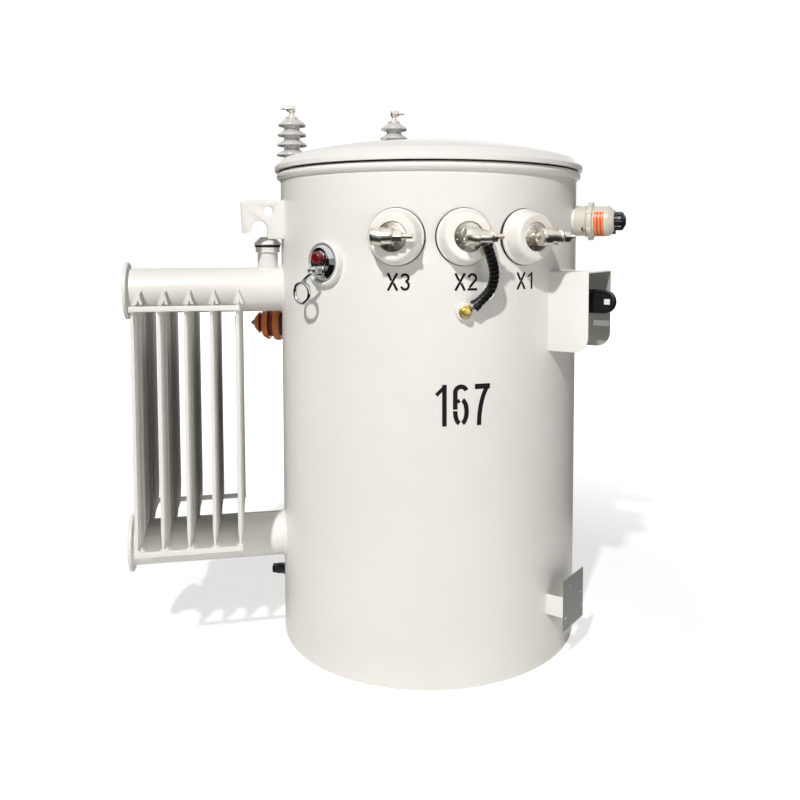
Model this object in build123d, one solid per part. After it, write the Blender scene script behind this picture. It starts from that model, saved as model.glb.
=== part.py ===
from build123d import *
import math
import os

# Pole mounted distribution transformer: a round welded tank with a domed cover, side radiator,
# porcelain bushings and its valves. Millimetres. The origin is the middle of the tank's underside,
# +Z is up, the low-voltage front faces -Y and the pole stands behind the tank, towards +Y.
# Angles round the tank are degrees from the front, positive towards +X. A drop is measured down
# from the tank's top edge, a reach or an offset outward from its wall.

# ------------------------------------------------------------------ driving dimensions: tank
# wall_reach is how far the blank of a fitted piece runs inside the wall before it is trimmed,
# root_overlap how deep a raised detail starts in what carries it, cut_over how far cuts overshoot.
tank_od = 660.0
tank_wall = 5.0
tank_height = 1003.0
bottom_thickness = 6.0
wall_reach = 30.0
root_overlap = 2.0
cut_over = 1.0

rim_height = 17.0
rim_bead_radius = 8.5
gasket_thickness = 2.5
gasket_width = 11.0
gasket_inset = 5.0

cover_overhang = 12.5
cover_lip_height = 9.0
cover_shoulder_rise = 16.0
cover_shoulder_width = 17.0
cover_crown_rise = 6.0
cover_crown_inset = 32.5
cover_dome_rise = 38.0
cover_thickness = 4.0
cover_lip_round = 4.0
cover_shoulder_round = 5.0

# ------------------------------------------------------------------ low-voltage bushings
lv_drop = 125.0
lv_angles = {"x3": -22.3, "x2": 0.0, "x1": 22.3}
lv_flange_radius = 54.0
lv_flange_depth = 13.0
lv_barrel_radius = 43.0
lv_barrel_depth = 40.0
lv_flare_width = 4.0
lv_flare_depth = 9.0
lv_recess_radius = 30.0
lv_recess_depth = 7.0

lv_plate_gap = 3.0
lv_plate_thickness = 4.0
lv_stem_radius = 11.0
clamp_bell_radius = 17.0
clamp_barrel_radius = 14.2
clamp_flare_depth = 3.0
clamp_stand_off = 3.0
clamp_start = {"x3": -33.0, "x2": -12.0, "x1": -9.0}
clamp_bell_end = {"x3": -13.5, "x2": 12.0, "x1": 13.0}
clamp_end = {"x3": 8.0, "x2": 38.0, "x1": 37.0}
clamp_nut_start = {"x3": 8.0, "x2": 38.0, "x1": 46.5}
clamp_nut_end = {"x3": 24.5, "x2": 47.5, "x1": 63.5}
clamp_rod_end = {"x3": 43.5, "x2": 60.5, "x1": 78.5}
clamp_nut_flats = 20.0
clamp_rod_radius = 5.0
wire_hole_radius = 8.5
wire_hole_reach = {"x3": -23.2, "x2": 27.5, "x1": 24.5}

# ------------------------------------------------------------------ ground strap
strap_radius = 9.5
strap_route = [
    (28.0, -12.5, 57.0),
    (38.0, -36.0, 50.0),
    (49.0, -66.0, 39.0),
    (48.0, -94.0, 28.0),
    (32.0, -116.0, 21.0),
    (15.0, -130.5, 15.8),
]
ground_pad_radius = 17.0
ground_pad_depth = 8.0
ground_pad_drop = 141.0
lug_thickness = 5.0
lug_eye_radius = 13.0
lug_neck_width = 15.0
lug_barrel_radius = 8.7
lug_barrel_length = 4.0
ground_bolt_flats = 22.0
ground_bolt_head = 9.0

# ------------------------------------------------------------------ pressure relief valve
relief_angle = -49.5
relief_drop = 175.0
relief_boss_radius = 45.0
relief_boss_depth = 12.0
relief_boss_floor = 4.0
relief_boss_gap = 3.0
relief_body_radius = 35.0
relief_body_depth = 16.0
relief_edge_depth = 10.0
relief_slope_width = 10.0
relief_neck_radius = 14.0
relief_neck_rise = 10.0
relief_neck_depth = 2.0
relief_cap_radius = 12.0
relief_cap_depth = 12.0
eye_drop = 14.0
eye_stand_off = 32.0
eye_pin_radius = 3.0
eye_pin_length = 22.0
eye_ear_thickness = 4.0
eye_ear_radius = 7.0
eye_ear_root = 6.0
pin_clearance = 0.08
ring_side_gap = 1.0
ring_eye_wall = 3.0
ring_wire_radius = 3.8
ring_knee_drop = 8.0
ring_knee_reach = 10.0
ring_loop_radius = 20.0
ring_loop_side = 28.0
ring_loop_drop = 44.5
ring_loop_reach = 5.0

# ------------------------------------------------------------------ draw-out fuse holder
fuse_angle = 58.0
fuse_drop = 90.5
fuse_sleeve_radius = 26.5
fuse_sleeve_depth = 4.5
fuse_barrel_radius = 30.5
fuse_barrel_depth = 25.0
fuse_collar_radius = 38.0
fuse_collar_depth = 15.0
fuse_collar_bevel = 3.0
fuse_body_radius = 31.0
fuse_body_depth = 31.0
fuse_taper_radius = 22.0
fuse_taper_depth = 11.0
fuse_cap_radius = 19.5
fuse_cap_depth = 22.0
fuse_cap_side_depth = 15.4
fuse_cap_crown_radius = 8.8
fuse_cap_flutes = 12
fuse_flute_depth = 13.2
fuse_flute_radius = 2.2
fuse_latch_radius = 3.4
fuse_latch_drop = 17.0
fuse_latch_depth = 18.0
fuse_latch_inset = 6.0

# ------------------------------------------------------------------ tap changer
tap_angle = 46.8
tap_drop = 254.6
guard_width = 132.0
guard_depth = 77.0
guard_rise = 61.0
guard_tall = 160.0
guard_thickness = 3.0
guard_corner_radius = 30.0
tap_boss_radius = 20.0
tap_boss_depth = 22.0
tap_bore_floor = 4.0
spindle_radius = 6.0
spindle_clearance = 0.08
spindle_end_gap = 2.0
knob_stand_off = 36.0
knob_skirt_radius = 21.0
knob_skirt_depth = 10.0
knob_grip_radius = 24.0
knob_grip_reach = 110.0
knob_grip_thickness = 14.0

# ------------------------------------------------------------------ nameplate
nameplate_angle = 43.2
nameplate_height = 130.0
nameplate_width = 93.4
nameplate_tall = 105.8
nameplate_thickness = 1.6
bracket_tall = 42.0
bracket_rise = -4.5
bracket_foot_width = 91.0
bracket_top_width = 88.0
bracket_stand_off = 35.7
bracket_thickness = 3.0

# ------------------------------------------------------------------ lifting lugs
lug_angle = -81.0
lug_drop = 46.0
lug_reach = 90.0
lug_tall = 82.0
lug_plate_thickness = 10.0
lug_hole_radius = 10.7
lug_hole_reach = 33.0
lug_hole_drop = 23.0
hook_reach = 52.0
hook_drop = 60.0
hook_radius = 17.0
hook_tip_drop = 70.0
hook_tip_width = 10.0
hook_tip_draft = 3.0
hook_mouth_inset = 1.7
lug_corner_radius = 10.0

# ------------------------------------------------------------------ pole hangers
hanger_drop = 168.0
hanger_spacing = 590.6
hanger_plate_width = 120.0
hanger_plate_tall = 100.0
hanger_plate_thickness = 10.0
hanger_stand_off = 62.0
hanger_web_thickness = 8.0
hanger_web_spacing = 84.0
hanger_slot_width = 21.0
hanger_slot_length = 45.0

# ------------------------------------------------------------------ radiator
header_od = 95.0
header_wall = 3.5
header_drop = 238.0
header_lower_height = 220.0
header_end_gap = 29.5
end_plate_lip = 13.0
end_plate_thickness = 6.0
panel_count = 5
panel_pitch = 49.6
panel_tank_gap = 92.1
panel_width = 344.0
panel_top_margin = 21.0
panel_bottom_margin = 30.0
panel_sheet = 7.0
panel_flute_depth = 10.0
panel_flute_count = 5
panel_flute_gap = 8.0
panel_flute_chamfer = 1.4
panel_seam = 14.0
neck_foot = 126.0
neck_shoulder = 4.5
neck_rise = 4.0
tie_bar_height = 10.0
tie_bar_depth = 8.0

# ------------------------------------------------------------------ oil filler
filler_offset = 30.0
filler_pipe_radius = 21.4
filler_pipe_wall = 3.0
filler_pipe_height = 45.0
filler_flange_radius = 25.7
filler_flange_thickness = 11.0
filler_gasket_thickness = 5.2
filler_gasket_radius = 27.5
filler_cap_radius = 29.0
filler_cap_height = 17.0
filler_cap_chamfer = 14.0

# ------------------------------------------------------------------ high-voltage bushings
hv_pocket_angle = -126.0
hv_pocket_offset = 36.0
hv_pocket_radius = 28.0
hv_pocket_tall = 112.0
hv_pocket_drop = 5.0
hv_neck_radius = 21.0
hv_neck_rise = 68.0
hv_seat_flange_radius = 26.0
hv_seat_flange_thickness = 6.0
hv_core_radius = 19.0
hv_shed_radius = 37.0
hv_shed_taper = 1.2
hv_shed_count = 4
hv_shed_pitch = 24.0
hv_shed_thickness = 9.0
hv_shed_root = 3.0
hv_foot_height = 19.0
hv_head_height = 11.0
hv_cover_angle = -172.0
hv_cover_inset = 48.0
hv_cover_pad_radius = 44.0
hv_cover_pad_height = 5.0
hv_stud_radius = 6.0
hv_stud_height = 28.0
hv_cap_radius = 15.0
hv_cap_height = 5.0
hv_clamp_radius = 8.0
hv_clamp_length = 16.0
hv_screw_radius = 2.6
hv_screw_length = 18.0

# ------------------------------------------------------------------ surge arrester and drain valve
arrester_angle = -104.0
arrester_below_header = 81.0
arrester_core_radius = 24.0
arrester_shed_overhang = 17.0
arrester_shed_taper = 8.0
arrester_full_sheds = 2
arrester_shed_start = 2.0
arrester_shed_bevel = 3.0
arrester_shed_count = 4
arrester_shed_pitch = 14.5
arrester_shed_thickness = 9.0
arrester_base_radius = 22.0
arrester_base_depth = 6.0
arrester_tip_radius = 14.0
arrester_tip_depth = 17.0
arrester_tip_end_radius = 2.5
drain_angle = -104.0
drain_height = 104.0
drain_collar_radius = 17.0
drain_collar_depth = 7.0
drain_body_radius = 12.0
drain_body_depth = 20.0
drain_plug_flats = 20.0
drain_plug_depth = 10.0

# ------------------------------------------------------------------ places that follow from these
tank_r = tank_od / 2
lv_height = tank_height - lv_drop
relief_height = tank_height - relief_drop
fuse_height = tank_height - fuse_drop
tap_height = tank_height - tap_drop
lug_top = tank_height - lug_drop
hanger_upper_height = tank_height - hanger_drop
header_upper_height = tank_height - header_drop
arrester_height = header_upper_height - arrester_below_header
last_panel_reach = tank_r + panel_tank_gap
first_panel_reach = last_panel_reach + (panel_count - 1) * panel_pitch
header_reach = first_panel_reach + header_end_gap
hv_pocket_top = tank_height - hv_pocket_drop
hv_seat_height = hv_pocket_top + hv_neck_rise
MIN_Z = (Align.CENTER, Align.CENTER, Align.MIN)
nodes = {}


# ------------------------------------------------------------------ shared construction
def outward(angle):
    a = math.radians(angle)
    return Vector(math.sin(a), -math.cos(a), 0)


def sideways(angle):
    a = math.radians(angle)
    return Vector(math.cos(a), math.sin(a), 0)


def on_wall(angle, height):
    """Frame on the tank wall: X runs to the right round the tank, Y up and Z straight out."""
    origin = outward(angle) * tank_r + Vector(0, 0, height)
    return Plane(origin=origin, x_dir=sideways(angle), z_dir=outward(angle)).location


def radial_plane(angle):
    """Frame in the upright plane through the tank's axis: X runs outward and Y up."""
    return Plane(origin=(0, 0, 0), x_dir=outward(angle), z_dir=sideways(angle) * -1).location


def rod(radius, start, end):
    """Round bar along Z from start to end."""
    return Pos(0, 0, start) * Cylinder(radius, end - start, align=MIN_Z)


def cone(start_radius, end_radius, start, end):
    return Pos(0, 0, start) * Cone(start_radius, end_radius, end - start, align=MIN_Z)


def hexagon(flats, start, end):
    """Hexagonal bar along Z, by its width across flats."""
    outline = RegularPolygon(flats / 2, 6, major_radius=False)
    return Pos(0, 0, start) * extrude(outline, end - start)


def block(x0, x1, y0, y1, z0, z1):
    """Box between two corners."""
    middle = Pos((x0 + x1) / 2, (y0 + y1) / 2, (z0 + z1) / 2)
    return middle * Box(x1 - x0, y1 - y0, z1 - z0)


def turned(points, rounds=None):
    """Solid of revolution about Z from (radius, height) points, with some corners rounded."""
    outline = make_face(Polyline(*[(r, z) for r, z in points], close=True))
    for index, radius in (rounds or {}).items():
        corner = outline.vertices().sort_by_distance(Vector(points[index][0], points[index][1], 0))[0]
        outline = fillet(corner, radius)
    return revolve(Plane.XZ * outline, Axis.Z)


tank_solid = rod(tank_r, 0, tank_height)


def against_tank(shape):
    """Trims what would reach into the tank, so that the piece sits on the round wall."""
    return shape - tank_solid


# ------------------------------------------------------------------ tank, rim and cover
def build_tank():
    inside = rod(tank_r - tank_wall, -cut_over, tank_height + cut_over)
    nodes["tank_shell"] = tank_solid - inside
    nodes["tank_bottom"] = rod(tank_r - tank_wall, 0, bottom_thickness)

    bead = Pos(tank_r, tank_height + rim_bead_radius) * Circle(rim_bead_radius)
    band = Pos(tank_r - tank_wall / 2, tank_height + rim_height / 2) * Rectangle(tank_wall, rim_height)
    ledge_width = gasket_width + gasket_inset
    ledge = Pos(tank_r - ledge_width / 2, tank_height + rim_height - tank_wall / 2)
    ledge = ledge * Rectangle(ledge_width, tank_wall)
    nodes["tank_rim"] = revolve(Plane.XZ * (bead + band + ledge), Axis.Z)

    rim_top = tank_height + rim_height
    gasket_outer = tank_r - gasket_inset + rim_bead_radius
    gasket = rod(gasket_outer, rim_top, rim_top + gasket_thickness)
    hole = rod(gasket_outer - gasket_width, rim_top - cut_over, rim_top + gasket_thickness + cut_over)
    nodes["cover_gasket"] = gasket - hole


cover_base = tank_height + rim_height + gasket_thickness
cover_lip_radius = tank_r + cover_overhang
cover_crown_radius = cover_lip_radius - cover_crown_inset
hv_cover_reach = cover_crown_radius - hv_cover_inset
cover_crown_height = cover_base + cover_lip_height + cover_shoulder_rise + cover_crown_rise
dome_radius = (cover_crown_radius ** 2 + cover_dome_rise ** 2) / (2 * cover_dome_rise)
dome_centre_height = cover_crown_height + cover_dome_rise - dome_radius


def dome_height(reach):
    """Height of the cover's domed top at a distance from the tank's axis."""
    return dome_centre_height + math.sqrt(dome_radius ** 2 - reach ** 2)


def dome_ball(inset):
    """Ball whose top is the cover's dome, drawn in by the inset."""
    return Pos(0, 0, dome_centre_height) * Sphere(dome_radius - inset)


def build_cover():
    lip_top = cover_base + cover_lip_height
    above_dome = dome_height(0) + cut_over
    outer = turned(
        [
            (0, cover_base),
            (cover_lip_radius, cover_base),
            (cover_lip_radius, lip_top),
            (cover_lip_radius - cover_shoulder_width, lip_top + cover_shoulder_rise),
            (cover_crown_radius, cover_crown_height),
            (cover_crown_radius, above_dome),
            (0, above_dome),
        ],
        {2: cover_lip_round, 3: cover_shoulder_round},
    )
    outer = outer & dome_ball(0)
    pad_centre = outward(hv_cover_angle) * hv_cover_reach
    pad_top = dome_height(hv_cover_reach) + hv_cover_pad_height
    pad = Pos(pad_centre.X, pad_centre.Y, 0) * rod(hv_cover_pad_radius, cover_base, pad_top)

    under_crown = rod(cover_crown_radius - cover_thickness, cover_base - cut_over, above_dome)
    hollow = under_crown & dome_ball(cover_thickness)
    seat_inner = tank_r - gasket_inset + rim_bead_radius - gasket_width
    shoulder_inside = lip_top + cover_shoulder_rise - cover_thickness
    hollow += rod(seat_inner, cover_base - cut_over, shoulder_inside)
    nodes["cover"] = outer + pad - hollow


# ------------------------------------------------------------------ low-voltage bushings
def build_lv_bushings():
    porcelain = turned(
        [
            (0, -wall_reach),
            (lv_flange_radius, -wall_reach),
            (lv_flange_radius, lv_flange_depth),
            (lv_barrel_radius + lv_flare_width, lv_flange_depth + lv_flare_width),
            (lv_barrel_radius, lv_flange_depth + lv_flare_depth),
            (lv_barrel_radius, lv_barrel_depth),
            (lv_recess_radius, lv_barrel_depth),
            (lv_recess_radius, lv_barrel_depth - lv_recess_depth),
            (0, lv_barrel_depth - lv_recess_depth),
        ],
        {2: 5.0, 5: 6.0, 6: 2.0},
    )
    recess_floor = lv_barrel_depth - lv_recess_depth
    plate_face = recess_floor + lv_plate_thickness
    clamp_axis = plate_face + clamp_stand_off + clamp_bell_radius
    for name, angle in lv_angles.items():
        place = on_wall(angle, lv_height)
        nodes["lv_bushing_" + name] = against_tank(place * porcelain)
        plate = rod(lv_recess_radius - lv_plate_gap, recess_floor, plate_face)
        stem = rod(lv_stem_radius, plate_face, clamp_axis)
        along = Pos(0, 0, clamp_axis) * Rot(0, 90, 0)
        clamp = along * rod(clamp_barrel_radius, clamp_start[name], clamp_end[name])
        clamp += along * rod(clamp_bell_radius, clamp_start[name], clamp_bell_end[name])
        flare_start = clamp_end[name] - clamp_flare_depth
        clamp += along * cone(clamp_barrel_radius, clamp_bell_radius, flare_start, clamp_end[name])
        nut = along * hexagon(clamp_nut_flats, clamp_nut_start[name], clamp_nut_end[name])
        screw = along * rod(clamp_rod_radius, clamp_bell_end[name], clamp_rod_end[name])
        wire_hole = Pos(wire_hole_reach[name], 0, clamp_axis) * Rot(90, 0, 0)
        wire_hole = wire_hole * rod(wire_hole_radius, -clamp_bell_radius - cut_over, clamp_bell_radius + cut_over)
        nodes["lv_terminal_" + name] = place * (plate + stem + clamp + nut + screw - wire_hole)


# ------------------------------------------------------------------ ground strap
def build_ground_strap():
    place = on_wall(lv_angles["x2"], lv_height)
    route = [Vector(*point) for point in strap_route]
    radii = []
    for before, here, after in zip(route, route[1:], route[2:]):
        turn = math.radians((here - before).get_angle(after - here))
        shorter = min((here - before).length, (after - here).length)
        radii.append(0.45 * shorter / math.tan(turn / 2))
    print("ground strap bend radii", [round(r, 1) for r in radii])
    path = FilletPolyline(*route, radius=radii)
    section = Plane(origin=path @ 0, z_dir=path % 0) * Circle(strap_radius)
    strap = sweep(section, path=path)
    print("ground strap length", round(path.length, 1))

    pad_place = on_wall(lv_angles["x2"], lv_height - ground_pad_drop)
    nodes["ground_pad"] = against_tank(pad_place * rod(ground_pad_radius, -wall_reach, ground_pad_depth))

    end = route[-1]
    lean = math.degrees(math.atan2(end.Y + ground_pad_drop, end.X))
    lug_face = ground_pad_depth + lug_thickness
    eye = rod(lug_eye_radius, ground_pad_depth, lug_face)
    neck_length = math.hypot(end.X, end.Y + ground_pad_drop)
    half_neck = lug_neck_width / 2
    neck = Rot(0, 0, lean) * block(0, neck_length, -half_neck, half_neck, ground_pad_depth, lug_face)
    bolt = hexagon(ground_bolt_flats, lug_face, lug_face + ground_bolt_head)
    barrel_place = Plane(origin=path @ 1, z_dir=path % 1).location
    barrel = barrel_place * rod(lug_barrel_radius, 0, lug_barrel_length)
    lug = pad_place * (eye + neck + bolt) + place * barrel
    nodes["ground_lug"] = against_tank(lug) - nodes["ground_pad"]
    terminal = nodes["lv_terminal_x2"]
    nodes["ground_strap"] = place * strap - terminal - nodes["ground_lug"]


# ------------------------------------------------------------------ pressure relief valve
def build_relief_valve():
    place = on_wall(relief_angle, relief_height)
    boss = rod(relief_boss_radius, -wall_reach, relief_boss_depth)
    boss_bore_radius = relief_body_radius + relief_boss_gap
    boss = boss - rod(boss_bore_radius, relief_boss_floor, relief_boss_depth + cut_over)
    nodes["relief_boss"] = against_tank(place * boss)

    body = turned(
        [
            (0, relief_boss_floor),
            (relief_body_radius, relief_boss_floor),
            (relief_body_radius, relief_edge_depth),
            (relief_body_radius - relief_slope_width, relief_body_depth),
            (0, relief_body_depth),
        ],
        {2: 2.0, 3: 4.0},
    )
    neck_end = relief_body_depth + relief_neck_depth
    neck = Pos(0, relief_neck_rise, 0) * rod(relief_neck_radius, relief_body_depth - root_overlap, neck_end)
    half_pin = eye_pin_length / 2
    ear = Pos(0, -eye_drop, eye_stand_off) * Rot(0, 90, 0)
    ears = Part()
    for side in (-1, 1):
        low, high = sorted((side * (half_pin - eye_ear_thickness), side * half_pin))
        ears += ear * rod(eye_ear_radius, low, high)
        ears += block(
            low, high, -eye_drop - eye_ear_radius, -eye_drop + eye_ear_radius,
            relief_body_depth - eye_ear_root, eye_stand_off,
        )
    pin = ear * rod(eye_pin_radius, -half_pin, half_pin)
    nodes["relief_valve"] = place * (body + neck + ears + pin)

    cap = turned(
        [
            (0, neck_end),
            (relief_cap_radius, neck_end),
            (relief_cap_radius, neck_end + relief_cap_depth),
            (0, neck_end + relief_cap_depth),
        ],
        {2: 5.0},
    )
    nodes["relief_cap"] = place * Pos(0, relief_neck_rise, 0) * cap

    # The pull ring is one bent wire: a cross eye on the pin, a shank that clears the ears at its knee
    # and then runs to the side, and a round loop.
    eye_length = eye_pin_length - 2 * (eye_ear_thickness + ring_side_gap)
    eye_outer = eye_pin_radius + pin_clearance + ring_eye_wall
    pivot = Pos(0, -eye_drop, eye_stand_off)
    eye = Rot(0, 90, 0) * rod(eye_outer, -eye_length / 2, eye_length / 2)
    knee = Vector(0, -ring_knee_drop, ring_knee_reach)
    loop_centre = Vector(-ring_loop_side, -ring_loop_drop, ring_loop_reach)
    lower_shank = loop_centre + Vector(0, ring_loop_radius, 0) - knee
    upper_place = Plane(origin=(0, 0, 0), z_dir=knee).location
    lower_place = Plane(origin=knee, z_dir=lower_shank).location
    ring = eye + upper_place * rod(ring_wire_radius, 0, knee.length)
    ring += Pos(knee.X, knee.Y, knee.Z) * Sphere(ring_wire_radius)
    ring += lower_place * rod(ring_wire_radius, 0, lower_shank.length)
    ring += Pos(loop_centre.X, loop_centre.Y, loop_centre.Z) * Torus(ring_loop_radius, ring_wire_radius)
    ring -= Rot(0, 90, 0) * rod(eye_pin_radius + pin_clearance, -eye_pin_length, eye_pin_length)
    nodes["relief_ring"] = place * pivot * ring
    joint = place * pivot
    print("relief ring pivot", joint.position, "axis", sideways(relief_angle) * -1)


# ------------------------------------------------------------------ draw-out fuse holder
def build_fuse_holder():
    place = on_wall(fuse_angle, fuse_height)
    sleeve_end = fuse_sleeve_depth
    nodes["fuse_sleeve"] = against_tank(place * rod(fuse_sleeve_radius, -wall_reach, sleeve_end))
    barrel_end = sleeve_end + fuse_barrel_depth
    collar_end = barrel_end + fuse_collar_depth
    body_end = collar_end + fuse_body_depth
    taper_end = body_end + fuse_taper_depth
    holder = turned(
        [
            (0, sleeve_end),
            (fuse_barrel_radius, sleeve_end),
            (fuse_barrel_radius, barrel_end),
            (fuse_collar_radius, barrel_end + fuse_collar_bevel),
            (fuse_collar_radius, collar_end - fuse_collar_bevel),
            (fuse_body_radius, collar_end),
            (fuse_body_radius, body_end),
            (fuse_taper_radius, taper_end),
            (0, taper_end),
        ],
        {3: 3.0, 4: 3.0, 6: 2.0},
    )
    latch_hole = Pos(0, -fuse_latch_drop, barrel_end - fuse_latch_inset) * Rot(0, -90, 0)
    holder -= latch_hole * rod(
        fuse_latch_radius, fuse_barrel_radius - fuse_latch_depth, fuse_barrel_radius + cut_over
    )
    nodes["fuse_holder"] = place * holder

    cap = turned(
        [
            (0, taper_end),
            (fuse_cap_radius, taper_end),
            (fuse_cap_radius, taper_end + fuse_cap_side_depth),
            (fuse_cap_crown_radius, taper_end + fuse_cap_depth),
            (0, taper_end + fuse_cap_depth),
        ],
        {2: 4.0, 3: 3.0},
    )
    for index in range(fuse_cap_flutes):
        turn = Rot(0, 0, index * 360 / fuse_cap_flutes) * Pos(fuse_cap_radius, 0, 0)
        cap -= turn * rod(fuse_flute_radius, taper_end - cut_over, taper_end + fuse_flute_depth)
    nodes["fuse_cap"] = place * cap


# ------------------------------------------------------------------ tap changer
def build_tap_changer():
    place = on_wall(tap_angle, tap_height)
    half = guard_width / 2
    top = guard_rise
    foot = top - guard_tall
    sheet = guard_thickness
    outline = make_face(
        Polyline(
            (top, -wall_reach), (top, guard_depth), (foot, guard_depth), (foot, -wall_reach), close=True
        )
    )
    corner = outline.vertices().sort_by_distance(Vector(foot, guard_depth, 0))[0]
    outline = fillet(corner, guard_corner_radius)
    upright = Plane(origin=(0, 0, 0), x_dir=(0, 1, 0), z_dir=(1, 0, 0))
    cheek = extrude(upright * outline, sheet)
    guard = Pos(-half, 0, 0) * cheek + Pos(half - sheet, 0, 0) * cheek
    guard += block(-half, half, top - sheet, top, -wall_reach, guard_depth)
    nodes["tap_guard"] = against_tank(place * guard)

    bore = rod(spindle_radius + spindle_clearance, tap_bore_floor, tap_boss_depth + cut_over)
    boss = rod(tap_boss_radius, -wall_reach, tap_boss_depth) - bore
    nodes["tap_boss"] = against_tank(place * boss)
    nodes["tap_spindle"] = place * rod(spindle_radius, tap_bore_floor + spindle_end_gap, knob_stand_off)
    skirt_end = knob_stand_off + knob_skirt_depth
    skirt = turned(
        [(0, knob_stand_off), (knob_skirt_radius, knob_stand_off), (knob_skirt_radius, skirt_end), (0, skirt_end)],
        {1: 2.0, 2: 4.0},
    )
    half = knob_grip_thickness / 2
    arc_centre = knob_grip_reach - knob_grip_radius
    grip = block(-half, half, -knob_grip_radius, knob_grip_radius, skirt_end - root_overlap, arc_centre)
    grip += Pos(0, 0, arc_centre) * Rot(0, 90, 0) * rod(knob_grip_radius, -half, half)
    nodes["tap_knob"] = place * (skirt + grip)
    print("tap knob pivot", place.position, "axis", outward(tap_angle))


# ------------------------------------------------------------------ nameplate
def hat_section(foot_half, foot_level, top_half, top_level):
    """Face between slanted legs: X across, Y outward, run on past the foot so that it can be trimmed."""
    slope = (foot_half - top_half) / (top_level - foot_level)
    low = foot_level - wall_reach
    low_half = foot_half + slope * wall_reach
    points = [(-low_half, low), (-top_half, top_level), (top_half, top_level), (low_half, low)]
    return make_face(Polyline(*points, close=True))


def build_nameplate():
    place = on_wall(nameplate_angle, nameplate_height)
    foot_half = bracket_foot_width / 2
    foot_level = math.sqrt(tank_r ** 2 - foot_half ** 2) - tank_r
    top_half = bracket_top_width / 2
    section = hat_section(foot_half, foot_level, top_half, bracket_stand_off)
    section -= hat_section(
        foot_half - bracket_thickness, foot_level,
        top_half - bracket_thickness, bracket_stand_off - bracket_thickness,
    )
    across = Plane(origin=(0, bracket_rise, 0), x_dir=(1, 0, 0), z_dir=(0, -1, 0))
    bracket = extrude(across * section, bracket_tall / 2, both=True)
    nodes["nameplate_bracket"] = against_tank(place * bracket)
    wide = nameplate_width / 2
    high = nameplate_tall / 2
    nodes["nameplate"] = place * block(
        -wide, wide, -high, high, bracket_stand_off, bracket_stand_off + nameplate_thickness
    )


# ------------------------------------------------------------------ lifting lugs
def build_lifting_lugs():
    outer = tank_r + lug_reach
    hook_x = tank_r + hook_reach
    hook_z = lug_top - hook_drop
    tip_z = lug_top - hook_tip_drop
    tip_x = outer - hook_tip_draft
    blank = make_face(
        Polyline(
            (tank_r - wall_reach, lug_top),
            (outer, lug_top),
            (tip_x, tip_z),
            (tip_x - hook_tip_width, tip_z),
            (hook_x + hook_radius - hook_mouth_inset, hook_z),
            (hook_x - hook_radius, hook_z),
            (hook_x - hook_radius, lug_top - lug_tall),
            (tank_r - wall_reach, lug_top - lug_tall),
            close=True,
        )
    )
    corner = blank.vertices().sort_by_distance(Vector(outer, lug_top, 0))[0]
    blank = fillet(corner, lug_corner_radius)
    blank -= Pos(hook_x, hook_z) * Circle(hook_radius)
    blank -= Pos(tank_r + lug_hole_reach, lug_top - lug_hole_drop) * Circle(lug_hole_radius)
    for name, angle in (("left", lug_angle), ("right", lug_angle + 180.0)):
        plate = extrude(blank, lug_plate_thickness / 2, both=True)
        nodes["lifting_lug_" + name] = against_tank(radial_plane(angle) * plate)


# ------------------------------------------------------------------ pole hangers
def build_hangers():
    for name, height in (
        ("upper", hanger_upper_height),
        ("lower", hanger_upper_height - hanger_spacing),
    ):
        place = on_wall(180.0, height)
        wide = hanger_plate_width / 2
        high = hanger_plate_tall / 2
        back = hanger_stand_off - hanger_plate_thickness
        bracket = block(-wide, wide, -high, high, back, hanger_stand_off)
        slot = SlotOverall(hanger_slot_length, hanger_slot_width, rotation=90)
        bracket -= Pos(0, 0, back - cut_over) * extrude(slot, hanger_plate_thickness + 2 * cut_over)
        for side in (-1, 1):
            middle = side * hanger_web_spacing / 2
            bracket += block(
                middle - hanger_web_thickness / 2, middle + hanger_web_thickness / 2,
                -high, high, -wall_reach, back,
            )
        nodes["hanger_" + name] = against_tank(place * bracket)


# ------------------------------------------------------------------ radiator
def header_place(height):
    """Frame on the tank's axis at a header's height, with Z out to the left."""
    return Plane(origin=(0, 0, height), x_dir=(0, -1, 0), z_dir=(-1, 0, 0)).location


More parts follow.
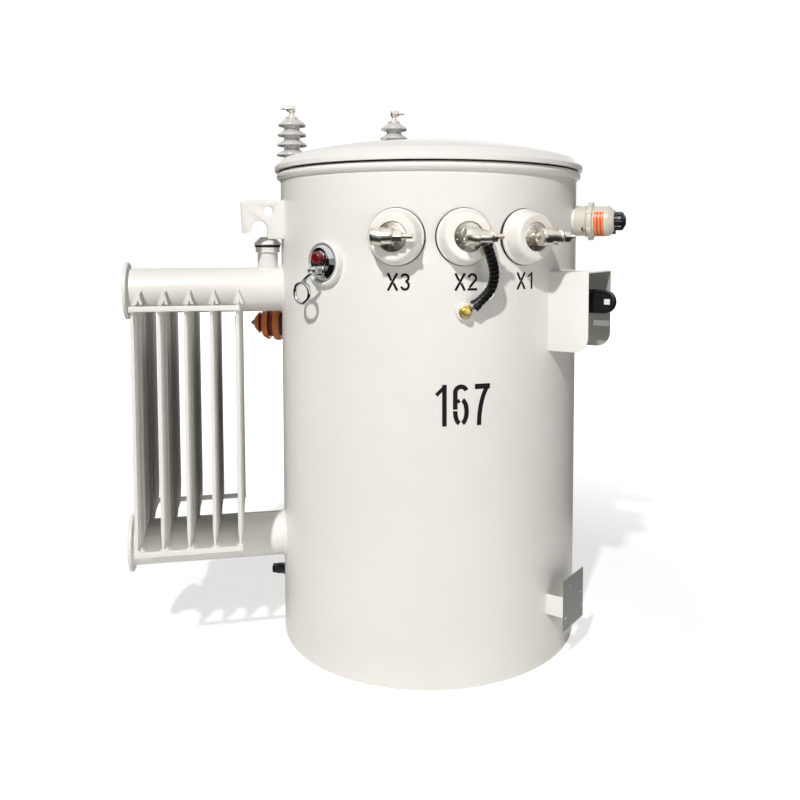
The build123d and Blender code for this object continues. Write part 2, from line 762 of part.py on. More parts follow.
def build_radiator():
    radius = header_od / 2
    end_plates = Part()
    header_solids = []
    for name, height in (("upper", header_upper_height), ("lower", header_lower_height)):
        place = header_place(height)
        header_solids.append(place * rod(radius, 0, header_reach))
        pipe = rod(radius, tank_r - wall_reach, header_reach)
        pipe -= rod(radius - header_wall, 0, header_reach + cut_over)
        nodes["header_" + name] = against_tank(place * pipe)
        end_plate = rod(radius + end_plate_lip, header_reach, header_reach + end_plate_thickness)
        end_plates += place * end_plate
    nodes["header_end_plates"] = end_plates

    top = header_upper_height - panel_top_margin
    bottom = header_lower_height + panel_bottom_margin
    half = panel_width / 2
    neck_head = radius + neck_shoulder
    neck_top = header_upper_height + neck_rise
    outline = make_face(
        Polyline(
            (-half, bottom),
            (-neck_foot, bottom),
            (-neck_head, header_lower_height),
            (neck_head, header_lower_height),
            (neck_foot, bottom),
            (half, bottom),
            (half, top),
            (neck_foot, top),
            (neck_head, neck_top),
            (-neck_head, neck_top),
            (-neck_foot, top),
            (-half, top),
            close=True,
        )
    )
    flute_pitch = (panel_width - 2 * panel_seam) / panel_flute_count
    flute_tall = top - bottom - 2 * panel_seam
    flutes = Part()
    for index in range(panel_flute_count):
        middle = -half + panel_seam + (index + 0.5) * flute_pitch
        channel = Box(flute_pitch - panel_flute_gap, flute_tall, panel_flute_depth)
        channel = chamfer(channel.edges().filter_by(Axis.Y), panel_flute_chamfer)
        flutes += Pos(middle, (top + bottom) / 2, 0) * channel
    sheet = extrude(outline, panel_sheet / 2, both=True)
    panel = sheet + flutes
    for index in range(panel_count):
        reach = -(first_panel_reach - index * panel_pitch)
        place = Plane(origin=(reach, 0, 0), x_dir=(0, -1, 0), z_dir=(-1, 0, 0)).location
        placed = place * panel
        for header in header_solids:
            placed -= header
        nodes["radiator_panel_%d" % (index + 1)] = placed

    left = -first_panel_reach - panel_flute_depth / 2
    right = -last_panel_reach + panel_flute_depth / 2
    bars = Part()
    for side in (-1, 1):
        near, far = sorted((side * half, side * (half + tie_bar_depth)))
        for level in (bottom, top - tie_bar_height):
            bars += block(left, right, near, far, level, level + tie_bar_height)
    nodes["radiator_tie_bars"] = bars


# ------------------------------------------------------------------ oil filler
def build_filler():
    seat = Pos(-(tank_r + filler_offset), 0, header_upper_height)
    header = header_place(header_upper_height) * rod(header_od / 2, 0, header_reach)
    top = header_od / 2 + filler_pipe_height
    gasket_top = top + filler_gasket_thickness
    bore = rod(filler_pipe_radius - filler_pipe_wall, 0, gasket_top + cut_over)
    pipe = rod(filler_pipe_radius, 0, top) + rod(filler_flange_radius, top - filler_flange_thickness, top)
    nodes["filler_neck"] = against_tank(seat * (pipe - bore) - header)
    nodes["filler_gasket"] = seat * (rod(filler_gasket_radius, top, gasket_top) - bore)
    cap = turned(
        [
            (0, gasket_top),
            (filler_cap_radius, gasket_top),
            (filler_cap_radius, gasket_top + filler_cap_height - filler_cap_chamfer),
            (filler_cap_radius - filler_cap_chamfer, gasket_top + filler_cap_height),
            (0, gasket_top + filler_cap_height),
        ],
        {2: 2.0, 3: 2.0},
    )
    nodes["filler_cap"] = against_tank(seat * cap)


# ------------------------------------------------------------------ high-voltage bushings
hv_porcelain_height = hv_foot_height + (hv_shed_count - 1) * hv_shed_pitch + hv_head_height


def hv_porcelain():
    """Shedded porcelain, from its foot at zero: discs that droop outward on a slim core."""
    body = rod(hv_core_radius, 0, hv_porcelain_height)
    for index in range(hv_shed_count):
        level = hv_foot_height + index * hv_shed_pitch
        radius = hv_shed_radius - index * hv_shed_taper
        body += turned(
            [
                (0, level + hv_shed_thickness),
                (0, level - hv_shed_root),
                (hv_core_radius, level - hv_shed_root),
                (radius, level - hv_shed_thickness / 2),
                (radius, level),
                (hv_core_radius, level + hv_shed_thickness),
            ],
            {3: 1.5, 4: 1.5},
        )
    return body


def hv_terminal(point):
    """Stud, washer cap and cross clamp on top of a high-voltage bushing."""
    top = hv_porcelain_height
    stud_top = top + hv_cap_height + hv_stud_height
    shape = rod(hv_cap_radius, top, top + hv_cap_height)
    shape += rod(hv_stud_radius, top, stud_top)
    level = stud_top - hv_clamp_radius
    cross = Pos(0, 0, level) * Rot(0, 0, point) * Rot(0, 90, 0)
    half = hv_clamp_length / 2
    shape += cross * rod(hv_clamp_radius, -half, half)
    shape += cross * rod(hv_screw_radius, half, half + hv_screw_length)
    return shape


def build_hv_bushings():
    out = outward(hv_pocket_angle)
    centre = out * (tank_r + hv_pocket_offset)
    column = Pos(centre.X, centre.Y, 0)
    bottom = hv_pocket_top - hv_pocket_tall
    pocket = column * rod(hv_pocket_radius, bottom, hv_pocket_top)
    half = hv_pocket_radius
    bridge = block(-half, half, bottom, hv_pocket_top, -wall_reach, hv_pocket_offset)
    pocket += on_wall(hv_pocket_angle, 0) * bridge
    pocket = against_tank(pocket)
    pocket += column * rod(hv_neck_radius, hv_pocket_top - root_overlap, hv_seat_height)
    pocket += column * rod(
        hv_seat_flange_radius, hv_seat_height - hv_seat_flange_thickness, hv_seat_height
    )
    nodes["hv_pocket"] = pocket

    nodes["hv_bushing_left"] = Pos(0, 0, hv_seat_height) * column * hv_porcelain()
    nodes["hv_terminal_left"] = Pos(0, 0, hv_seat_height) * column * hv_terminal(180.0)

    rear = outward(hv_cover_angle) * hv_cover_reach
    seat = Pos(rear.X, rear.Y, dome_height(hv_cover_reach) + hv_cover_pad_height)
    nodes["hv_bushing_rear"] = seat * hv_porcelain()
    nodes["hv_terminal_rear"] = seat * hv_terminal(0.0)


# ------------------------------------------------------------------ surge arrester and drain valve
def build_arrester():
    place = on_wall(arrester_angle, arrester_height)
    base_end = arrester_base_depth
    nodes["arrester_bracket"] = against_tank(place * rod(arrester_base_radius, -wall_reach, base_end))
    stack_end = base_end + arrester_shed_count * arrester_shed_pitch
    stack = rod(arrester_core_radius, base_end, stack_end)
    for index in range(arrester_shed_count):
        start = base_end + index * arrester_shed_pitch + arrester_shed_start
        narrowing = max(0, index + 1 - arrester_full_sheds) * arrester_shed_taper
        radius = arrester_core_radius + arrester_shed_overhang - narrowing
        stack += turned(
            [
                (0, start),
                (radius - arrester_shed_bevel, start),
                (radius, start + arrester_shed_thickness / 2),
                (radius - arrester_shed_bevel, start + arrester_shed_thickness),
                (0, start + arrester_shed_thickness),
            ],
            {2: 2.0},
        )
    nodes["surge_arrester"] = place * stack
    nodes["arrester_tip"] = place * cone(
        arrester_tip_radius, arrester_tip_end_radius, stack_end, stack_end + arrester_tip_depth
    )


def build_drain_valve():
    place = on_wall(drain_angle, drain_height)
    valve = rod(drain_collar_radius, -wall_reach, drain_collar_depth)
    valve += rod(drain_body_radius, 0, drain_body_depth)
    valve += hexagon(drain_plug_flats, drain_body_depth, drain_body_depth + drain_plug_depth)
    nodes["drain_valve"] = against_tank(place * valve)


def main():
    build_tank()
    build_cover()
    build_lv_bushings()
    build_ground_strap()
    build_relief_valve()
    build_fuse_holder()
    build_tap_changer()
    build_nameplate()
    build_lifting_lugs()
    build_hangers()
    build_radiator()
    build_filler()
    build_hv_bushings()
    build_arrester()
    build_drain_valve()

    os.makedirs("parts", exist_ok=True)
    for name, shape in nodes.items():
        export_step(shape, "parts/" + name + ".step")


main()
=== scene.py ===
import math

import bmesh
import bpy
import numpy as np
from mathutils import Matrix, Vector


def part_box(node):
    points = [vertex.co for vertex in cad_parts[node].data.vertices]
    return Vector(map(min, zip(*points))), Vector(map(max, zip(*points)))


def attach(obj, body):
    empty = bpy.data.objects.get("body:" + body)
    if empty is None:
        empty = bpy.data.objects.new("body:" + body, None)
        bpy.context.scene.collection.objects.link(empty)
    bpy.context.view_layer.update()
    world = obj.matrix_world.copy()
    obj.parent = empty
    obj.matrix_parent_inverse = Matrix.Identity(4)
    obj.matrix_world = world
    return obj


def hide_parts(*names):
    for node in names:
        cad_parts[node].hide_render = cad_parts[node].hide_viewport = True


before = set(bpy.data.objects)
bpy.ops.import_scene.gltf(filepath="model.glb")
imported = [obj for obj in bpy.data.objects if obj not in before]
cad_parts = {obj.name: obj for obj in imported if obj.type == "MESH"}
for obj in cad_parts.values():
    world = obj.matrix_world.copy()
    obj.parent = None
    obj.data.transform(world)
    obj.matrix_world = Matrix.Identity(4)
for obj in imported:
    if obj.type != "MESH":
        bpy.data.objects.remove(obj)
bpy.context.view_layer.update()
mm = 0.001

# ---------------------------------------------------------------- studio
# One small hard key lamp stands high on the left and wide soft lamps in front and behind, in a white room
# with a pale paper floor. The camera stands at the height of the bushings, a little left of the front.
eye_distance = 1.858
eye_height = 0.8646
eye_azimuth = math.radians(-11.7)
eye_pitch = math.radians(-3.53)

camera_data = bpy.data.cameras.new("camera")
camera_data.sensor_width = 36.0
camera_data.lens = 36.63
camera_data.shift_x = -0.0358
camera_data.shift_y = -0.1323
camera = bpy.data.objects.new("camera", camera_data)
camera.location = (eye_distance * math.sin(eye_azimuth), -eye_distance * math.cos(eye_azimuth), eye_height)
camera.rotation_euler = (math.pi / 2 + eye_pitch, 0.0, eye_azimuth)
bpy.context.scene.collection.objects.link(camera)
bpy.context.scene.camera = camera
bpy.context.scene.view_settings.view_transform = "Standard"


def linear(code):
    """An sRGB hex value such as "ECE9E3" as linear red, green, blue and an alpha of one."""
    value = np.array([int(code[i:i + 2], 16) / 255 for i in (0, 2, 4)])
    light = np.where(value <= 0.04045, value / 12.92, ((value + 0.055) / 1.055) ** 2.4)
    return (*light.tolist(), 1.0)


def add_node(tree, kind, inputs=None, **settings):
    """Adds a node with its settings; an input is linked where a socket is given, and otherwise set."""
    node = tree.nodes.new(kind)
    for key, value in settings.items():
        setattr(node, key, value)
    for key, value in (inputs or {}).items():
        if isinstance(value, bpy.types.NodeSocket):
            tree.links.new(value, node.inputs[key])
        else:
            node.inputs[key].default_value = value
    return node


lamp_tint = "FFFCFA"
lamp_aim = 0.6


def studio_lamp(name, azimuth, elevation, distance, size, power):
    """Square lamp on a sphere round the middle of the tank, facing it. The azimuth is from the front."""
    data = bpy.data.lights.new(name, "AREA")
    data.size = size
    data.energy = power
    data.color = linear(lamp_tint)[:3]
    lamp = bpy.data.objects.new(name, data)
    a, e = math.radians(azimuth), math.radians(elevation)
    lamp.location = (
        distance * math.sin(a) * math.cos(e),
        -distance * math.cos(a) * math.cos(e),
        lamp_aim + distance * math.sin(e),
    )
    lamp.rotation_euler = (math.pi / 2 - e, 0.0, a)
    bpy.context.scene.collection.objects.link(lamp)


studio_lamp("key_lamp", -28, 42, 9.0, 0.28, 700)
studio_lamp("front_softbox", 24, 0, 4.5, 2.4, 30)
studio_lamp("rear_softbox", 156, 8, 4.5, 2.4, 28)

# The room is white to the camera and in reflections, and gives the object only a faint even light.
white_room = bpy.data.worlds.new("white_room")
white_room.use_nodes = True
room = white_room.node_tree
room.nodes.clear()
ray = add_node(room, "ShaderNodeLightPath")
seen = add_node(room, "ShaderNodeMath", {0: ray.outputs["Is Camera Ray"], 1: ray.outputs["Is Glossy Ray"]},
                operation="MAXIMUM")
seen = add_node(room, "ShaderNodeMath", {0: seen.outputs[0], 1: ray.outputs["Is Transmission Ray"]},
                operation="MAXIMUM")
ambient = add_node(room, "ShaderNodeBackground", {"Color": linear("F0F2EE"), "Strength": 0.09})
backdrop = add_node(room, "ShaderNodeBackground", {"Color": linear("FFFFFF"), "Strength": 1.0})
blend = add_node(room, "ShaderNodeMixShader", {
    0: seen.outputs[0], 1: ambient.outputs[0], 2: backdrop.outputs[0]})
add_node(room, "ShaderNodeOutputWorld", {"Surface": blend.outputs[0]})
bpy.context.scene.world = white_room


def stage_piece(name, corners, material_name):
    """Flat sheet of the studio with an empty material, which isn't part of the object."""
    mesh = bpy.data.meshes.new(name)
    mesh.from_pydata(corners, [], [tuple(range(len(corners)))])
    sheet = bpy.data.objects.new(name, mesh)
    bpy.context.scene.collection.objects.link(sheet)
    material = bpy.data.materials.new(material_name)
    material.use_nodes = True
    material.node_tree.nodes.clear()
    mesh.materials.append(material)
    return sheet, material.node_tree


# Paper floor: white to the camera, with the object's shadow left in it, and whiter still with distance.
floor_half = 14.0
floor_corners = [(x * floor_half, y * floor_half, 0) for x, y in ((-1, -1), (1, -1), (1, 1), (-1, 1))]
paper = stage_piece("studio_floor", floor_corners, "white_floor_paper")[1]
matt = add_node(paper, "ShaderNodeBsdfDiffuse", {"Color": linear("F2F2F0")})
glow = add_node(paper, "ShaderNodeEmission", {"Color": linear("FFFFFF"), "Strength": 1.35})
ray = add_node(paper, "ShaderNodeLightPath")
place = add_node(paper, "ShaderNodeTexCoord")
reach = add_node(paper, "ShaderNodeVectorMath", {0: place.outputs["Object"]}, operation="LENGTH")
fade = add_node(paper, "ShaderNodeMapRange", {
    "Value": reach.outputs["Value"], "From Min": 0.6, "From Max": 2.2, "To Min": 0.5, "To Max": 1.0})
share = add_node(paper, "ShaderNodeMath", {0: ray.outputs["Is Camera Ray"], 1: fade.outputs[0]},
                 operation="MULTIPLY")
lit = add_node(paper, "ShaderNodeMixShader", {0: share.outputs[0], 1: matt.outputs[0], 2: glow.outputs[0]})
add_node(paper, "ShaderNodeOutputMaterial", {"Surface": lit.outputs[0]})

# Dark cards stand and lie round the stage where only reflections see them, and give the gloss its contrast.
# The two that face the front are grey.
card_start, card_reach, card_foot, card_tall = 0.9, 7.0, 0.02, 2.6
card_count, grey_cards = 8, (5, 6)
for index in range(card_count):
    start, end = (2 * math.pi * (index + edge) / card_count for edge in (0, 1))
    upright = [(card_reach, start, card_foot), (card_reach, end, card_foot),
               (card_reach, end, card_tall), (card_reach, start, card_tall)]
    lying = [(card_start, start, card_foot / 2), (card_reach, start, card_foot / 2),
             (card_reach, end, card_foot / 2), (card_start, end, card_foot / 2)]
    for side, corners in (("upright", upright), ("lying", lying)):
        card, cloth = stage_piece(
            "dark_card_%s_%d" % (side, index), [(r * math.cos(a), r * math.sin(a), z) for r, a, z in corners],
            "dark_card_cloth_%s_%d" % (side, index))
        card.visible_camera = card.visible_diffuse = card.visible_shadow = card.visible_transmission = False
        tone = "9A9A95" if side == "upright" and index in grey_cards else "141615"
        shine = add_node(cloth, "ShaderNodeEmission", {"Color": linear(tone), "Strength": 1.0})
        add_node(cloth, "ShaderNodeOutputMaterial", {"Surface": shine.outputs[0]})

# ---------------------------------------------------------------- tank wall
# The tank is 5 mm steel plate rolled round and closed with one upright weld at the back. It is sprayed all
# over with a light grey gloss paint, and its bottom plate is welded in at the lower edge.
tank_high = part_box("tank_shell")[1]
tank_r, tank_top = tank_high.x, tank_high.z
tank_wall = 5 * mm
tank_edge_round = 1.2 * mm
seam_angle = math.radians(152)
wide_sides = 360


def rounded(corners, closed=False, steps=5):
    """Outline through (x, y, radius) corners. A corner with a radius becomes an arc tangent to both sides:
    its centre lies on the bisector, at radius / sin(half the corner's angle) from the corner."""
    places = np.array([corner[:2] for corner in corners], float)
    line = []
    for index, corner in enumerate(corners):
        here = places[index]
        radius = corner[2] if len(corner) > 2 else 0.0
        if radius == 0.0:
            line.append(here[None])
            continue
        before = places[index - 1] - here
        after = places[(index + 1) % len(places)] - here
        before /= np.linalg.norm(before)
        after /= np.linalg.norm(after)
        half_angle = 0.5 * math.acos(np.clip(before @ after, -1, 1))
        middle = (before + after) / np.linalg.norm(before + after)
        centre = here + middle * radius / math.sin(half_angle)
        start = here + before * radius / math.tan(half_angle) - centre
        end = here + after * radius / math.tan(half_angle) - centre
        sweep = math.pi - 2 * half_angle
        t = np.linspace(0, 1, steps + 1)[:, None]
        line.append(centre + (np.sin((1 - t) * sweep) * start + np.sin(t * sweep) * end) / math.sin(sweep))
    line = np.concatenate(line)
    return np.concatenate([line, line[:1]]) if closed else line


def skin(grid):
    """Points and four-sided faces of a grid of points whose last column joins its first."""
    rows, columns = grid.shape[:2]
    number = np.arange(rows * columns).reshape(rows, columns)
    beside = np.roll(number, -1, axis=1)
    corners = np.stack([number[:-1], beside[:-1], beside[1:], number[1:]], axis=-1)
    return grid.reshape(-1, 3), corners.reshape(-1, 4).tolist()


def circle(radius, sides=16):
    """Points of a circle about the origin: radius times (cos a, sin a)."""
    a = np.linspace(0, 2 * np.pi, sides, endpoint=False)
    return radius * np.stack([np.cos(a), np.sin(a)], axis=-1)


def turned(profile, sides=96):
    """Shape of revolution about Z: a point (r, z) of the profile goes to (r cos a, r sin a, z) for each a."""
    x, y = circle(1.0, sides).T
    r, z = np.asarray(profile, float).T
    return skin(np.stack([np.outer(r, x), np.outer(r, y), np.outer(z, np.ones(sides))], axis=-1))


def surface(name, base, roughness, metallic=0.0, tones=None, bumps=(), constants=None):
    """Material of one finish. Its tones are two hex values that a noise mixes, and its bumps are noises with
    a strength and a height, each laid on the one before. A noise has a grain size in mm and a detail."""
    material = bpy.data.materials.new(name)
    material.use_nodes = True
    tree = material.node_tree
    shader = tree.nodes["Principled BSDF"]
    settings = {"Base Color": linear(base), "Roughness": roughness, "Metallic": metallic, **(constants or {})}
    for key, value in settings.items():
        shader.inputs[key].default_value = value
    place = add_node(tree, "ShaderNodeTexCoord").outputs["Object"]
    if tones:
        low, high, size, detail = tones
        noise = add_node(tree, "ShaderNodeTexNoise", {
            "Vector": place, "Scale": 1 / (size * mm), "Detail": detail})
        mix = add_node(tree, "ShaderNodeMix", {0: noise.outputs[0], 6: linear(low), 7: linear(high)},
                       data_type="RGBA")
        tree.links.new(mix.outputs[2], shader.inputs["Base Color"])
    layer_below = {}
    for size, detail, strength, height in bumps:
        noise = add_node(tree, "ShaderNodeTexNoise", {
            "Vector": place, "Scale": 1 / (size * mm), "Detail": detail})
        bump = add_node(tree, "ShaderNodeBump", {
            "Height": noise.outputs[0], "Strength": strength, "Distance": height * mm, **layer_below})
        layer_below = {"Normal": bump.outputs["Normal"]}
        tree.links.new(bump.outputs["Normal"], shader.inputs["Normal"])
    return material


# Gloss enamel sprayed on steel: faint waves of the plate bend the highlights, orange peel about 4 mm across
# breaks them up a little, and the tone is very slightly uneven.
orange_peel = (4, 2, 0.10, 0.25)
grey_enamel = surface("sprayed_grey_enamel", "E8E7E4", 0.32, tones=("E3E2DE", "EDEBE8", 200, 2),
                      bumps=[(143, 1, 0.25, 4), orange_peel])


def finished(name, mesh, nodes, material, body):
    """Makes an object of a mesh with its material and body, in place of the CAD nodes named."""
    mesh.materials.clear()
    mesh.materials.append(material)
    made = bpy.data.objects.new(name, mesh)
    bpy.context.scene.collection.objects.link(made)
    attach(made, body)
    if nodes:
        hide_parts(*nodes)
    return made


def piece(name, parts, nodes=(), material=grey_enamel, body="transformer", sharp=38.0):
    """Object of several closed parts: doubles are merged, faces turned outward, and edges that bend more
    than the limit in degrees stay crisp. It is painted with the tank unless another material is given."""
    points, faces, start = [], [], 0
    for vertices, corners in parts:
        points.append(vertices)
        faces.extend([tuple(i + start for i in corner) for corner in corners])
        start += len(vertices)
    mesh = bpy.data.meshes.new(name)
    mesh.from_pydata(np.concatenate(points).tolist(), [], faces)
    shell = bmesh.new()
    shell.from_mesh(mesh)
    bmesh.ops.remove_doubles(shell, verts=shell.verts, dist=2e-6)
    bmesh.ops.dissolve_degenerate(shell, edges=shell.edges, dist=1e-7)
    bmesh.ops.recalc_face_normals(shell, faces=shell.faces)
    shell.to_mesh(mesh)
    shell.free()
    mesh.shade_smooth()
    mesh.set_sharp_from_angle(angle=math.radians(sharp))
    finished(name, mesh, nodes, material, body)


wall_in = tank_r - tank_wall
wall_ring = rounded([(wall_in, 0), (tank_r, 0, tank_edge_round), (tank_r, tank_top), (wall_in, tank_top)],
                    closed=True)
piece("tank_wall", [turned(wall_ring, wide_sides)], ["tank_shell"])
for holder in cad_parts["tank_bottom"].material_slots:
    holder.material = grey_enamel


def swept(section, line, reference, closed=False, size=1.0):
    """Closed section carried along a line: each of its points (x, y) goes to line + size (x side + y rise).
    Side is the line's direction crossed with the reference, and rise is side crossed with the direction.
    A section may change from point to point of the line, and open ends are drawn together."""
    line = np.asarray(line, float)
    ahead = np.roll(line, -1, axis=0) - np.roll(line, 1, axis=0) if closed else np.gradient(line, axis=0)
    side = np.cross(ahead, reference)
    side /= np.linalg.norm(side, axis=1)[:, None]
    rise = np.cross(side, ahead)
    rise /= np.linalg.norm(rise, axis=1)[:, None]
    section = np.asarray(section, float)
    if section.ndim == 2:
        section = np.repeat(section[None], len(line), axis=0)
    section = section * np.broadcast_to(size, len(line))[:, None, None]
    grid = line[:, None] + section[..., :1] * side[:, None] + section[..., 1:] * rise[:, None]
    if closed:
        return skin(np.concatenate([grid, grid[:1]]))
    ends = [np.repeat(line[i][None, None], grid.shape[1], axis=1) for i in (0, -1)]
    return skin(np.concatenate([ends[0], grid, ends[1]]))


weld_drop = 2.6 * mm


def weld(line, radius, reference, closed=False):
    """Weld bead: a tube along a line whose thickness swells once in every drop's length, as laid beads do."""
    line = np.asarray(line, float)
    run = np.concatenate([[0], np.cumsum(np.linalg.norm(np.diff(line, axis=0), axis=1))])
    swell = 0.92 + 0.16 * np.abs(np.sin(np.pi * run / weld_drop))
    return swept(circle(radius, 8), line, reference, closed, swell)


bead_reach = tank_r - 1 * mm


def upright_weld(angle, low, high, radius):
    """Bead up the wall at an angle between two heights, its middle sunk a little into the plate."""
    out = np.array([math.sin(angle), -math.cos(angle), 0.0])
    return weld(out * bead_reach + np.outer(np.arange(low, high, 1 * mm), (0, 0, 1)), radius, out)


piece("tank_seam_weld", [upright_weld(seam_angle, 4 * mm, tank_top - 3 * mm, 3.4 * mm)])

# ---------------------------------------------------------------- stencilled marks
# The rating and the terminal marks are sprayed through stencils in black paint, so they lie on the round
# wall and bend with it. The narrow gaps in the figures are the stencil's bridges.

# Stencil paint: a thin matt black film with a dusty speckle, duller than the enamel round it.
black_stencil = surface("stencil_black_paint", "0C0C0D", 0.60, tones=("070708", "131315", 5.56, 3),
                        constants={"Specular IOR Level": 0.25})
film_foot, film_top = tank_r - 0.5 * mm, tank_r + 0.25 * mm


def wall_angle(node):
    """Angle from the front of a CAD node on the wall: the middle between its outermost points' angles."""
    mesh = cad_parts[node].data
    points = np.empty(len(mesh.vertices) * 3, np.float32)
    mesh.vertices.foreach_get("co", points)
    points = points.reshape(-1, 3).astype(float)
    x, y = points[:, 0], points[:, 1]
    rough = math.atan2(x.mean(), -y.mean())
    s, c = math.sin(rough), math.cos(rough)
    angles = np.arctan2(x * c + y * s, x * s - y * c)
    return rough + (angles.min() + angles.max()) / 2


def stroke(line, width):
    """Flat stroke of even width: every point of the line, moved by half the width to both sides. At a
    bend the move lies on the bisector and is longer, by one over the cosine of half the bend. Each length
    is first cut in eight, so that the stroke can follow the round wall."""
    line = np.asarray(line, float)
    fine = np.linspace(0, len(line) - 1, 8 * (len(line) - 1) + 1)
    line = np.column_stack([np.interp(fine, np.arange(len(line)), line[:, k]) for k in (0, 1)])
    ahead = np.diff(line, axis=0)
    ahead /= np.linalg.norm(ahead, axis=1)[:, None]
    across = np.column_stack([-ahead[:, 1], ahead[:, 0]])
    side = np.vstack([across[:1], across[:-1] + across[1:], across[-1:]])
    side[1:-1] /= (1 + (across[:-1] * across[1:]).sum(axis=1))[:, None]
    return np.stack([line + side * width / 2, line - side * width / 2], axis=1)


def bowl(cx, cy, rx, ry, start, end):
    """Part of an oval: its centre plus (rx cos a, ry sin a), with a from the start to the end in degrees."""
    a = np.radians(np.linspace(start, end, 28))
    return np.column_stack([cx + rx * np.cos(a), cy + ry * np.sin(a)])


def figure_strokes(figure, wide, tall, width):
    """Strokes of one figure or letter in a box that starts at zero, with the stroke's middle inside it."""
    w, h, e = wide, tall, width / 2
    r = w / 2 - e
    if figure == "X":
        lean = e * math.hypot(w, h) / h
        mid = (h - width) / 2
        return [stroke([(lean, 0), (w - lean, h)], width),
                stroke([(w - lean, 0), (w / 2 + e * 0.9, mid)], width),
                stroke([(w / 2 - e * 0.9, h - mid), (lean, h)], width)]
    if figure == "1":
        return [stroke([(w - e, 0), (w - e, h)], width), stroke([(w - e, h - e), (0, h * 0.75)], width * 0.8)]
    if figure == "2":
        neck = np.vstack([bowl(w / 2, h - e - r, r, r, 172, -28), [(e * 1.5, width * 1.2)]])
        return [stroke(neck, width), stroke([(0, e), (w, e)], width)]
    if figure == "3":
        high_r, low_r = (h * 0.46 - e) / 2, (h * 0.54 - e) / 2
        return [stroke(bowl(w / 2, h - e - high_r, r * 0.94, high_r, 165, -82), width),
                stroke(bowl(w / 2, e + low_r, r, low_r, 82, -165), width)]
    if figure == "6":
        ring_r = h * 0.29
        crown = np.vstack([bowl(w / 2, h - e - r, r, r, 20, 180), [(e, h * 0.40)]])
        gap = math.degrees(0.35 * width / r)
        return [stroke(crown, width),
                stroke(bowl(w / 2, e + ring_r, r, ring_r, 176, 270 - gap), width),
                stroke(bowl(w / 2, e + ring_r, r, ring_r, -90 + gap, 90 - gap), width),
                stroke(bowl(w / 2, e + ring_r, r * 0.9, ring_r, 90 + gap, 132), width * 0.8)]
    leg = np.vstack([bowl(w * 1.26, 0, w * 0.98, h * 1.03, 180, 117), [(w - e * 0.7, h - width * 0.6)]])
    return [stroke([(0, h - e * 1.15), (w, h - e * 1.15)], width * 1.15), stroke(leg, width)]


def sprayed(name, figures, widths, tall, width, gap, angle, foot, right=0.0):
    """A row of figures centred on an angle and moved to the right of it, its foot at a height. It is drawn
    flat and wrapped on the wall: X becomes an angle, X over the tank's radius, and Y a height. Each stroke
    is a thin closed film of paint."""
    x = right - (sum(widths) + gap * (len(widths) - 1)) / 2
    films = []
    for figure, wide in zip(figures, widths):
        for ribbon in figure_strokes(figure, wide, tall, width):
            a, z = angle + (ribbon[..., 0] + x) / tank_r, foot + ribbon[..., 1]
            under, over = (
                np.stack([r * np.sin(a), -r * np.cos(a), z], axis=-1) for r in (film_foot, film_top))
            points, faces = skin(np.stack([over[:, 0], over[:, 1], under[:, 1], under[:, 0]], axis=1))
            last = len(points)
            films.append((points, [(0, 1, 2, 3), *faces, (last - 1, last - 2, last - 3, last - 4)]))
        x += wide + gap
    piece(name, films, (), black_stencil, sharp=30.0)


rating_foot, rating_tall, rating_stroke, rating_gap = 518 * mm, 80 * mm, 8.8 * mm, 12 * mm
mark_foot, mark_tall, mark_stroke, mark_right = 776.5 * mm, 33 * mm, 4.6 * mm, 3 * mm
sprayed("rating_numerals", "167", [20 * mm, 31 * mm, 31 * mm], rating_tall, rating_stroke, rating_gap,
        wall_angle("lv_bushing_x2"), rating_foot)
for number in (1, 2, 3):
    wide, gap = (12 * mm, 5.5 * mm) if number == 1 else (19 * mm, 2.5 * mm)
    sprayed("mark_x%d" % number, "X%d" % number, [24 * mm, wide], mark_tall, mark_stroke, gap,
            wall_angle("lv_bushing_x%d" % number), mark_foot, mark_right)

# ---------------------------------------------------------------- rim and cover gasket
# A round steel bead is welded on the wall's upper edge as the seat of the cover, with a narrow ledge
# inside it. A black cork and rubber ring lies between the ledge and the cover.
rim_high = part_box("tank_rim")[1]
rim_bead = rim_high.x - tank_r
bead_turn = np.radians(np.linspace(-90, 90, 25))
bead_line = np.column_stack([
    tank_r + rim_bead * np.cos(bead_turn), tank_top + rim_bead * (1 + np.sin(bead_turn))])
ledge_in, ledge_under = tank_r - 16 * mm, rim_high.z - tank_wall
ledge_line = [(ledge_in, rim_high.z), (ledge_in, ledge_under), (wall_in, ledge_under), (wall_in, tank_top)]
rim_line = np.vstack([bead_line, ledge_line, bead_line[:1]])
piece("rim_bead", [turned(rim_line, wide_sides)], ["tank_rim"])

# Nitrile rubber with cork, pressed: matt and near black, with a crumb drawn coarser than its real half mm.
black_rubber = surface("pressed_nitrile_cork", "0E0E10", 0.62, bumps=[(2.5, 3, 0.3, 0.3)])
gasket_low, gasket_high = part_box("cover_gasket")
gasket_in = gasket_high.x - 11 * mm
gasket_edge_round = 0.8 * mm
seal_line = rounded([
    (gasket_in, gasket_low.z), (gasket_high.x, gasket_low.z, gasket_edge_round),
    (gasket_high.x, gasket_high.z, gasket_edge_round), (gasket_in, gasket_high.z)], closed=True)
piece("cover_seal", [turned(seal_line, wide_sides)], ["cover_gasket"], black_rubber)

# ---------------------------------------------------------------- cover
# The cover is one pressed sheet: a short upright lip, a sloping shoulder and a shallow dome that starts at
# a crease. A flat pad is welded on it at the back for the second high-voltage bushing.
cover_low, cover_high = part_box("cover")
lip_r = cover_high.x
lip_top = cover_low.z + 9 * mm
shoulder_r, shoulder_top = lip_r - 17 * mm, lip_top + 16 * mm
crown_r, crown_top = lip_r - 32.5 * mm, lip_top + 22 * mm
sheet = 4 * mm
dome_r = (crown_r ** 2 + (cover_high.z - crown_top) ** 2) / (2 * (cover_high.z - crown_top))


